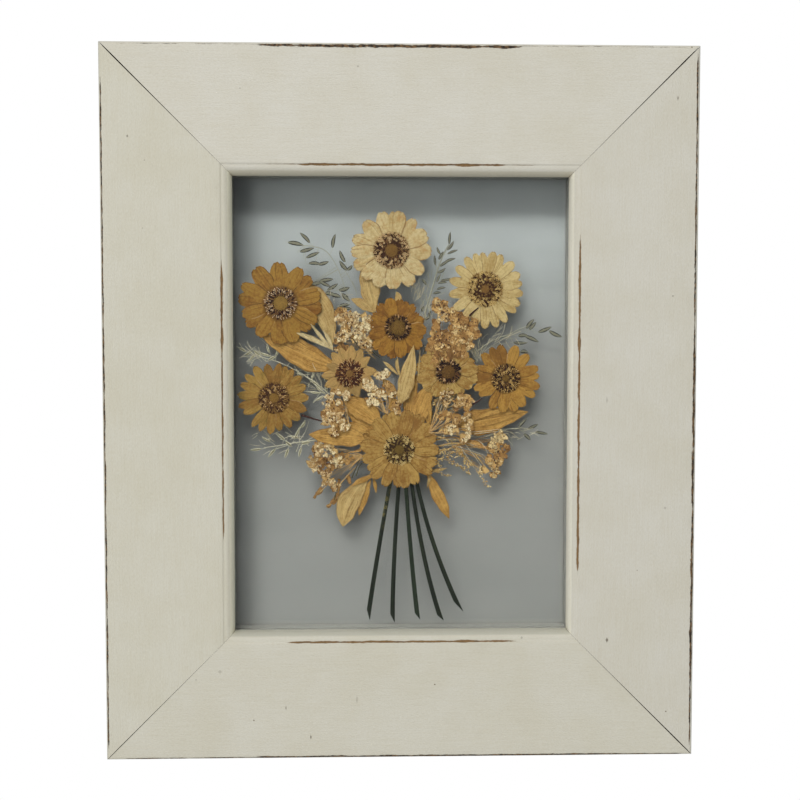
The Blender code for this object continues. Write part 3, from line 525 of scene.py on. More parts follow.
# Each lamp: its place from the middle of the flowers, its width and height, watts and colour
LAMPS = {
    "high_lamp": ((-0.6, -1.95, 1.85), (1.7, 0.14), 23.3, (1.0, 0.985, 0.95)),
    "low_lamp": ((0.2, -1.8, -1.3), (2.0, 0.9), 2.2, (1.0, 0.99, 0.97)),
    "side_lamp": ((-0.8, -1.6, 0.05), (0.5, 0.7), 3.6, (1.0, 0.985, 0.95)),
    "right_lamp": ((0.85, -1.6, -0.2), (0.5, 0.6), 0.6, (1.0, 0.99, 0.97)),
}


def add_lamp(name, away, size, power, colour):
    """Add a soft rectangular lamp that faces the middle of the flowers."""
    data = bpy.data.lights.new(name, "AREA")
    data.shape = "RECTANGLE"
    data.size, data.size_y = size
    data.energy = power
    data.color = colour
    middle = spot(0, 0, FLOWER_MIDDLE)
    place = middle + Vector(away)
    lamp = put(name, data)
    lamp.location = place
    lamp.rotation_euler = (middle - place).to_track_quat("-Z", "Y").to_euler()


def set_light():
    """Light the room: a wide soft lamp high in front, three dimmer ones and pale walls."""
    for name, lamp in LAMPS.items():
        add_lamp(name, *lamp)
    world = bpy.data.worlds.new("pale_room")
    bpy.context.scene.world = world
    world.use_nodes = True
    tree = world.node_tree
    path, shown = tree.nodes.new("ShaderNodeLightPath"), tree.nodes["Background"].outputs[0]
    tree.nodes["Background"].inputs["Color"].default_value = (0.95, 0.98, 1.0, 1.0)
    tree.nodes["Background"].inputs["Strength"].default_value = 0.5
    # The walls look white to the camera and dim in the glass
    for ray, colour, strength in (("Is Glossy Ray", (0.85, 0.92, 1.0, 1.0), 0.1),
                                  ("Is Camera Ray", (1.0, 1.0, 1.0, 1.0), 1.0)):
        wall, mix = tree.nodes.new("ShaderNodeBackground"), tree.nodes.new("ShaderNodeMixShader")
        wall.inputs["Color"].default_value = colour
        wall.inputs["Strength"].default_value = strength
        tree.links.new(path.outputs[ray], mix.inputs[0])
        tree.links.new(shown, mix.inputs[1])
        tree.links.new(wall.outputs[0], mix.inputs[2])
        shown = mix.outputs[0]
    tree.links.new(shown, tree.nodes["World Output"].inputs["Surface"])
    bpy.context.scene.view_settings.view_transform = "Standard"


def lay_floor():
    """Lay a plain pale floor well below the hanging frame."""
    finish = Finish("pale_floor", {"Roughness": 0.9})
    dapple = finish.noise(finish.place(), 0.004, 2.0)
    finish.set("Base Color", finish.mixed(dapple, (238, 238, 236), (232, 232, 230)))
    bm = bmesh.new()
    bmesh.ops.create_circle(bm, cap_ends=True, segments=96, radius=FLOOR_RADIUS)
    bmesh.ops.translate(bm, vec=(0.0, BACK_Y, CAD_BOX[0].z - FLOOR_DROP), verts=bm.verts)
    mesh = mesh_of("floor", bm)
    mesh.materials.append(finish.material)
    floor = put("floor", mesh)


# ---------------------------------------------------------------- making pieces

def add_piece(name, mesh, finishes, nodes=()):
    """Put a named piece in the scene, let it ride with the frame and stand for its nodes."""
    for finish in finishes:
        mesh.materials.append(finish)
    mesh.shade_smooth()
    mesh.set_sharp_from_angle(angle=math.radians(SHARP_ANGLE))
    piece = put(name, mesh)
    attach(piece, "root")
    if nodes:
        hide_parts(*nodes)


def ways(degrees):
    """Return the directions along and to the right of a heading, clockwise from upright."""
    turn = math.radians(degrees)
    return Vector((math.sin(turn), math.cos(turn))), Vector((math.cos(turn), -math.sin(turn)))


def bend(points, share):
    """Return the place and direction on the smooth curve through three points."""
    start, middle, end = (Vector(point) for point in points)
    pull = 2 * middle - (start + end) / 2
    where = start * (1 - share) ** 2 + pull * 2 * share * (1 - share) + end * share ** 2
    heading = (pull - start) * (1 - share) + (end - pull) * share
    return where, heading.normalized()


def run_through(points):
    """Return a path, share to place and direction, on a smooth line through any points."""
    line = [Vector(point) for point in points]
    line = [2 * line[0] - line[1]] + line + [2 * line[-1] - line[-2]]

    def path(share):
        spans = len(line) - 3
        span = min(int(share * spans), spans - 1)
        t = share * spans - span
        before, start, end, after = line[span:span + 4]
        slope_start, slope_end = (end - before) / 2, (after - start) / 2
        where = (start * (2 * t ** 3 - 3 * t ** 2 + 1) + slope_start * (t ** 3 - 2 * t ** 2 + t)
                 + end * (3 * t ** 2 - 2 * t ** 3) + slope_end * (t ** 3 - t ** 2))
        heading = ((start - end) * (6 * t ** 2 - 6 * t) + slope_start * (3 * t ** 2 - 4 * t + 1)
                   + slope_end * (3 * t ** 2 - 2 * t))
        return where, heading.normalized()

    return path


class Growth:
    """A pressed piece in the making: thin blades, stalks and buds in one mesh."""

    def __init__(self):
        self.mesh = bmesh.new()
        self.layers = [self.mesh.verts.layers.float.new(note) for note in NOTES]
        self.sheets = []

    def note(self, vertex, *values):
        for layer, value in zip(self.layers, values):
            vertex[layer] = value

    def faces_of(self, vertices, material):
        faces = list({face for vertex in vertices for face in vertex.link_faces})
        for face in faces:
            face.material_index = material
        return faces

    def grid(self, columns, rows, shape, tint, material=0):
        """Bend a grid to shape(side, share), which gives x, z and height in millimetres."""
        made = bmesh.ops.create_grid(self.mesh, x_segments=columns, y_segments=rows, size=1.0)["verts"]
        for vertex in made:
            side, share = vertex.co.x, (vertex.co.y + 1) / 2
            self.note(vertex, side, share, tint)
            vertex.co = spot(*shape(side, share))
        return made, self.faces_of(made, material)

    def blade(self, columns, rows, shape, tint, material=0):
        """Add a blade, which gets the piece's thickness when it is finished."""
        self.sheets += self.grid(columns, rows, shape, tint, material)[1]

    def stalk(self, sides, rows, path, height, half_width, half_depth, tint, cut=0.0):
        """Add a flattened stalk along a path, its ends closed and its left side cut short."""
        rows += 2

        def shape(side, share):
            row = round(share * rows)
            along = min(max(row - 1, 0), rows - 2) / (rows - 2)
            is_open = 0.0 if row in (0, rows) else 1.0
            across = math.cos(math.pi * side) * is_open
            where, heading = path(along * (1 - cut * (1 + across) / 2))
            width = half_width(along)
            up = math.sin(math.pi * side) * is_open * half_depth(along)
            return where.x + heading.y * across * width, where.y - heading.x * across * width, height + up

        made = self.grid(sides, rows, shape, tint)[0]
        bmesh.ops.remove_doubles(self.mesh, verts=made, dist=0.001 * MM)

    def thread(self, points, height, radius, tint, rows=6):
        """Add a thin thread through points, tapering to half its radius."""
        def taper(share):
            return radius * (1 - 0.5 * share)

        self.stalk(4, rows, run_through(points), height, taper, taper, tint)

    def bud(self, x, z, height, size, heading, stretch, side, share, tint, material=0):
        """Add a small bud, stretched along its heading."""
        turn = Matrix.Rotation(math.radians(90), 4, "X") @ Matrix.Rotation(-math.radians(heading), 4, "Z")
        grow = Matrix.Diagonal((size * MM, size * stretch * MM, size * 0.8 * MM, 1.0))
        matrix = Matrix.Translation(spot(x, z, height)) @ turn @ grow
        made = bmesh.ops.create_icosphere(self.mesh, subdivisions=1, radius=1.0, matrix=matrix)["verts"]
        for vertex in made:
            self.note(vertex, side, share, tint)
        self.faces_of(made, material)

    def cup(self, x, z, height, radius, tint, material=1):
        """Add a tiny open floret: a cup with a pale rim and a dark throat."""
        turn = Matrix.Translation(spot(x, z, height)) @ Matrix.Rotation(math.radians(90), 4, "X")
        sizes = {"radius1": radius * 0.5 * MM, "radius2": radius * MM, "depth": 0.3 * MM, "segments": 7}
        made = bmesh.ops.create_cone(self.mesh, cap_ends=True, cap_tris=True, matrix=turn, **sizes)
        for vertex in made["verts"]:
            depth = vertex.co.y - spot(x, z, height).y
            middle = math.hypot(vertex.co.x - x * MM, vertex.co.z - spot(x, z, 0).z) < radius * 0.2 * MM
            self.note(vertex, 1.0, 1.0, tint if depth < 0 and not middle else -0.5)
            if depth < 0 and middle:
                vertex.co.y += 0.22 * MM
        self.faces_of(made["verts"], material)

    def dome(self, x, z, height, radius, rise, side, tint, material=1):
        """Add a low dome."""
        turn = Matrix.Rotation(math.radians(90), 4, "X")
        grow = Matrix.Diagonal((radius * MM, radius * MM, rise * MM, 1.0))
        matrix = Matrix.Translation(spot(x, z, height)) @ turn @ grow
        sizes = {"u_segments": 36, "v_segments": 10, "radius": 1.0}
        made = bmesh.ops.create_uvsphere(self.mesh, matrix=matrix, **sizes)["verts"]
        for vertex in made:
            self.note(vertex, side, 1.0, tint)
        self.faces_of(made, material)

    def finish(self, name, finishes, slot, nodes=(), thickness=0.07):
        """Give the blades their thickness and make the piece."""
        if self.sheets:
            grown = bmesh.ops.extrude_face_region(self.mesh, geom=self.sheets, use_keep_orig=True)["geom"]
            for item in grown:
                if isinstance(item, bmesh.types.BMVert):
                    item.co.y += thickness * MM
            bmesh.ops.recalc_face_normals(self.mesh, faces=self.mesh.faces)
        for vertex in self.mesh.verts:
            vertex.co.y = BACK_Y - pressed((BACK_Y - vertex.co.y) / MM) * MM
        add_piece(name, mesh_of(name, self.mesh), finishes, nodes)


# ---------------------------------------------------------------- the frame

def moulding():
    """Return the moulding's outline as (distance from the opening, height), sight edge first."""
    outline = [(0.0, LIP_BACK), (0.0, BEAD_FOOT)]
    for step in range(1, BEAD_STEPS + 1):
        angle = math.radians(90 * step / BEAD_STEPS)
        across = BEAD_WIDTH * (1 - math.cos(angle))
        outline.append((across, BEAD_FOOT + (BEAD_CREST - BEAD_FOOT) * math.sin(angle)))
    step_at, rise = BEAD_WIDTH + GROOVE, RAIL_DEPTH - BEAD_CREST
    for step in range(1, SLOPE_STEPS + 1):
        share = step / SLOPE_STEPS
        ease = share * share * (3 - 2 * share)
        outline.append((step_at + STEP_SLOPE * share, BEAD_CREST + rise * ease))
    face_start, face_end = step_at + STEP_SLOPE, RAIL_WIDTH - OUTER_ROUND
    for share in FACE_SHARES:
        outline.append((face_start + (face_end - face_start) * share, RAIL_DEPTH))
    for step in range(ROUND_STEPS + 1):
        angle = math.radians(90 * step / ROUND_STEPS)
        up = RAIL_DEPTH - OUTER_ROUND + OUTER_ROUND * math.cos(angle)
        outline.append((face_end + OUTER_ROUND * math.sin(angle), up))
    outline += [(RAIL_WIDTH, RAIL_DEPTH / 2), (RAIL_WIDTH, BACK_CHAMFER)]
    return outline + [(RAIL_WIDTH - BACK_CHAMFER, 0.0), (LIP, 0.0), (LIP, LIP_BACK)]


def distance_over(outline):
    """Return how far over the moulding each point of its outline lies, from the sight edge."""
    reached = [0.0]
    for (x0, y0), (x1, y1) in zip(outline, outline[1:]):
        reached.append(reached[-1] + math.hypot(x1 - x0, y1 - y0))
    return reached


def dress_rail(name, outward, openings, finishes):
    """Model one rail: its moulding drawn out between two mitres.

    openings is how far each mitre stands open near its outer end.  It does so in the front half
    alone, and closes again at the very corner.
    """
    outline = moulding()
    reached = distance_over(outline)
    bare_from = len(outline) - BACK_POINTS
    half_opening = OPENING[1 if outward[1] else 0] / 2
    side_length = OPENING[0 if outward[1] else 1] / 2
    bm = bmesh.new()
    along_note, over_note = (bm.verts.layers.float.new(note) for note in ("along", "over"))
    number = bm.verts.layers.int.new("number")
    ring = [bm.verts.new((across, up, 0.0)) for across, up in outline]
    for index, vertex in enumerate(ring):
        vertex[number] = index
    edges = list(bm.faces.new(ring).edges)
    for step in range(1, RAIL_STEPS + 1):
        grown = bmesh.ops.extrude_edge_only(bm, edges=edges)["geom"]
        edges = [item for item in grown if isinstance(item, bmesh.types.BMEdge)]
        for item in grown:
            if isinstance(item, bmesh.types.BMVert):
                item.co.z = step / RAIL_STEPS
    bmesh.ops.edgeloop_fill(bm, edges=edges)
    bmesh.ops.recalc_face_normals(bm, faces=bm.faces)
    for face in bm.faces:
        is_end = len(face.verts) > 4
        is_painted = max(vertex[number] for vertex in face.verts) <= bare_from and not is_end
        face.material_index = 0 if is_painted else (2 if is_end else 1)
    for vertex in bm.verts:
        across, up, share = vertex.co
        outer = across / RAIL_WIDTH
        closing = min(1.0, (MITRE_END - outer) * MITRE_CLOSING)
        open_here = outer ** MITRE_CURVE * max(0.0, 2 * up / RAIL_DEPTH - 1) * closing
        gaps = [MITRE_GAP + (far - MITRE_GAP) * open_here for far in openings]
        low, high = -(side_length + across - gaps[0]), side_length + across - gaps[1]
        reach = low + (high - low) * share
        is_arris = across < BEAD_ARRIS or across > OUTER_ARRIS
        arris = math.exp(-abs(up - RAIL_DEPTH) * 3) * (1 if is_arris else 0)
        dent = noise.noise(Vector((reach * 0.15, across * 3, sum(map(ord, name)))))
        up -= max(0.0, dent) * DENT_DEPTH * arris
        vertex[along_note], vertex[over_note] = reach, reached[vertex[number]]
        x = outward[0] * (half_opening + across) + abs(outward[1]) * reach
        z = outward[1] * (half_opening + across) + abs(outward[0]) * reach
        vertex.co = spot(x, z, up)
    bmesh.ops.recalc_face_normals(bm, faces=bm.faces)
    add_piece(name + "_moulding", mesh_of(name + "_moulding", bm), finishes, [name])


# Each rail: the side it lies on, how far its mitres stand open, its bead's tone and what is added
# to its cream, both painted light for how the rail is lit, its worn rows and its marks.  A worn row
# starts with an arris and how far off it lies.
RAILS = {
    "rail_top": {
        "side": (0, 1), "openings": (0.44, 0.46), "bead_painted_light": (217, 211, 192), "painted_light_shift": (4, 4, 6),
        "worn": [("outer", 0.0, -62, 54, 0.62, 1.0), ("outer", 0.4, -124, 124, 0.3, 0.4),
                 ("face", 0.0, -48, 48, 0.46, 1.0), ("face", 0.0, -62, 62, 0.24, 0.5)],
        "marks": [(-18.0, 48.4, 0.8, 0.5, 0.4), (-66.7, 39.1, 0.6, 0.5, 0.35)]},
    "rail_bottom": {
        "side": (0, -1), "openings": (0.26, 0.42), "bead_painted_light": (203, 201, 186), "painted_light_shift": (1, 1, 1),
        "worn": [("outer", 0.8, -68, 100, 0.5, 1.0), ("outer", 0.9, -124, 124, 0.4, 0.8),
                 ("face", 0.0, -52, 52, 0.4, 1.0)],
        "marks": [(-49.0, 36.2, 0.5, 1.4, 0.5), (-38.5, 48.8, 0.5, 1.6, 0.7), (51.3, 6.8, 0.8, 1.0, 0.35),
                  (-86.9, 23.9, 0.5, 0.5, 0.5), (-18.9, 33.0, 0.6, 3.2, 0.25),
                  (-76.8, 20.5, 1.4, 1.2, 0.25)]},
    "rail_left": {
        "side": (-1, 0), "openings": (0.26, 0.44), "bead_painted_light": (241, 237, 214), "painted_light_shift": (1, 1, 0),
        "worn": [("outer", 0.5, -150, 140, 0.42, 0.85), ("face", 0.0, -60, 64, 0.34, 0.95),
                 ("face", 0.0, 20, 62, 0.5, 1.0), ("face", -1.2, 3, 10, 0.9, 0.8)],
        "marks": [(111.5, 46.4, 0.9, 0.6, 0.7), (101.7, 39.5, 0.5, 0.4, 0.4),
                  (73.8, 40.6, 0.6, 0.4, 0.35)]},
    "rail_right": {
        "side": (1, 0), "openings": (0.42, 0.42), "bead_painted_light": (250, 246, 229), "painted_light_shift": (1, 1, 3),
        "worn": [("outer", 0.2, -125, 30, 0.6, 0.9), ("outer", 0.1, -150, 150, 0.42, 0.85),
                 ("face", 0.0, -76, 76, 0.46, 1.0)],
        "marks": [(-100.1, 20.9, 1.9, 0.9, 0.8), (128.4, 48.6, 1.6, 0.5, 0.6),
                  (-131.0, 31.1, 1.3, 0.6, 0.8), (46.1, 47.5, 0.5, 0.7, 0.6),
                  (-43.6, 45.2, 1.0, 0.9, 0.3), (2.3, 20.0, 2.4, 0.5, 0.25)]},
}


def dress_frame():
    """Model the four rails, each with its own worn edges."""
    reached = distance_over(moulding())
    arrises = {"face": reached[FACE_ARRIS_POINT] - FACE_WEAR,
               "outer": reached[OUTER_ARRIS_POINT] - OUTER_WEAR}
    wood, mitre_shade_wood = bare_wood(), shaded_joint_wood()
    for name, rail in RAILS.items():
        worn = [(arrises[arris] + off, *row) for arris, off, *row in rail["worn"]]
        paint = cream_paint(name.replace("rail", "cream_paint"), worn, rail["marks"], rail["bead_painted_light"],
                            rail["painted_light_shift"])
        dress_rail(name, rail["side"], rail["openings"], [paint, wood, mitre_shade_wood])


def dress_fittings():
    """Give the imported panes, strips, board and steel their finishes."""
    card, board, glass = strip_card(), grey_board(), clear_glass()
    sheet, wire = zinc_steel("zinc_sheet", 0.3), zinc_steel("zinc_nail", 0.22)
    finishes = {"front_glass": glass, "back_glass": glass, "backing_board": board, "pane_strip": card,
                "spacer": card, "point_": sheet, "sawtooth": sheet, "hanger_nail": wire}
    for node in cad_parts:
        for start, finish in finishes.items():
            if node.startswith(start):
                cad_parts[node].material_slots[0].material = finish


# ---------------------------------------------------------------- the flower heads

GOLDEN_ANGLE = math.degrees(math.pi * (3 - math.sqrt(5)))
FLORET_PITCH = 0.43

# Pale florets drawn out less than this are open cups, of these tints
CUP_LIMIT, CUP_TINTS = 1.4, (1.1, 1.7, 2.1, 2.4)

# How dark the petals' roots are
ROOT_SHADE, PALE_ROOTS = 0.6, {"flower_big": 0.1}


def add_petal(growth, head, petal, rank, chance):
    """Add one petal: broad, ribbed, with one or two notches in its blunt tip."""
    angle, length, half_width = petal
    x0, z0 = head["at"]
    out, right = ways(angle)
    base = head["disc"] * 0.7
    floor = layer_floor(head["layer"]) + 0.08 + rank
    lean, phase, lift = chance.uniform(-0.4, 0.4), chance.uniform(0, 6), chance.uniform(-0.02, 0.06)
    notches = [(place + chance.uniform(-0.1, 0.1), head["notch"] * chance.uniform(0.2, 1.2))
               for place in chance.choice(((-0.36, 0.3), (0.0,), (-0.3, 0.4), (0.25,)))]

    def shape(side, share):
        full = min(1.0, 0.5 + 0.85 * share)
        full *= 1 - (1 - head["tip"]) * max(0.0, (share - 0.52) / 0.48) ** 2
        full *= 1 + 0.05 * math.sin(8 * share + phase)
        tip = length - head["round"] * abs(side) ** head["blunt"]
        tip -= sum(deep * math.exp(-((side - place) / 0.13) ** 2) for place, deep in notches)
        tip += 0.12 * math.sin(13 * side + phase)
        reach = base + (tip - base) * share
        place = out * reach + right * (half_width * full * side + lean * share ** 2)
        height = floor + 0.07 * (1 - side * side) + 0.035 * math.cos(11 * side)
        height += lift * share ** 2 + 0.03 * math.sin(9 * share + 4 * side + phase) + 0.14 * (1 - share) ** 2
        return x0 + place.x, z0 + place.y, height

    tint = chance.random()
    if angle in head["browned"]:
        tint = chance.uniform(1.1, 1.4)
    growth.blade(*PETAL_GRID, shape, tint)


def add_disc(growth, head, chance):
    """Add the disc: an even heart, and round it the florets of each band in a spiral."""
    x0, z0 = head["at"]
    floor = layer_floor(head["layer"]) + DISC_FOOT
    top = min(layer_floor(head["layer"]) + DISC_HEIGHT, FLOWER_TOP - UNDER_GLASS)
    radius, bands = head["disc"], head["bands"]
    heart = bands[0][0]
    growth.dome(x0, z0, floor, radius * 0.97, top - floor - 0.22, head["ground"], 0.0)
    growth.dome(x0, z0, top - 0.42, heart * radius, 0.3, 0.0, 0.55)
    count = round((radius / FLORET_PITCH) ** 2)
    for index in range(count):
        share = math.sqrt((index + 0.5) / count)
        angle = index * GOLDEN_ANGLE
        out, right = ways(angle)
        place = Vector((x0, z0)) + out * (radius * share) + right * chance.uniform(-0.14, 0.14)
        height = top - 0.2 - 0.12 * max(0.0, share - 0.7) / 0.3
        if share < heart:
            size = chance.uniform(0.24, 0.34)
            growth.bud(*place, top - 0.26, size, 0, 1.0, 0.0, 1.0, chance.uniform(0.1, 0.9), 1)
            continue
        band = next(band for band in bands if share <= band[0] or band is bands[-1])
        dark, middling, pale, drawn = band[1:]
        shade, size = chance.random(), chance.uniform(0.26, 0.38)
        stretch = chance.uniform(1.0, 1.6) * drawn
        if shade < dark + middling:
            level = (-0.1, 0.15) if shade < dark else (0.35, 0.65)
            growth.bud(*place, height, size, angle, stretch, 1.0, 1.0, chance.uniform(*level), 1)
        elif shade < dark + middling + pale and drawn < CUP_LIMIT:
            growth.cup(*place, height - 0.05, size * 1.45, chance.choice(CUP_TINTS))
        elif shade < dark + middling + pale:
            growth.bud(*place, height + 0.05, size * 0.6, angle, stretch * 1.3, 1.0, 1.0, 1.0, 1)


def make_head(name, head, finishes, seed):
    """Make a daisy-like head: its petals, each over the next, and the disc."""
    chance, growth = random.Random(seed), Growth()
    for index, petal in enumerate(head["petals"]):
        add_petal(growth, head, petal, 0.12 * (index % 2) + 0.03 * (index % 3), chance)
    add_disc(growth, head, chance)
    growth.finish(name + "_head", finishes, head["slot"], [name])


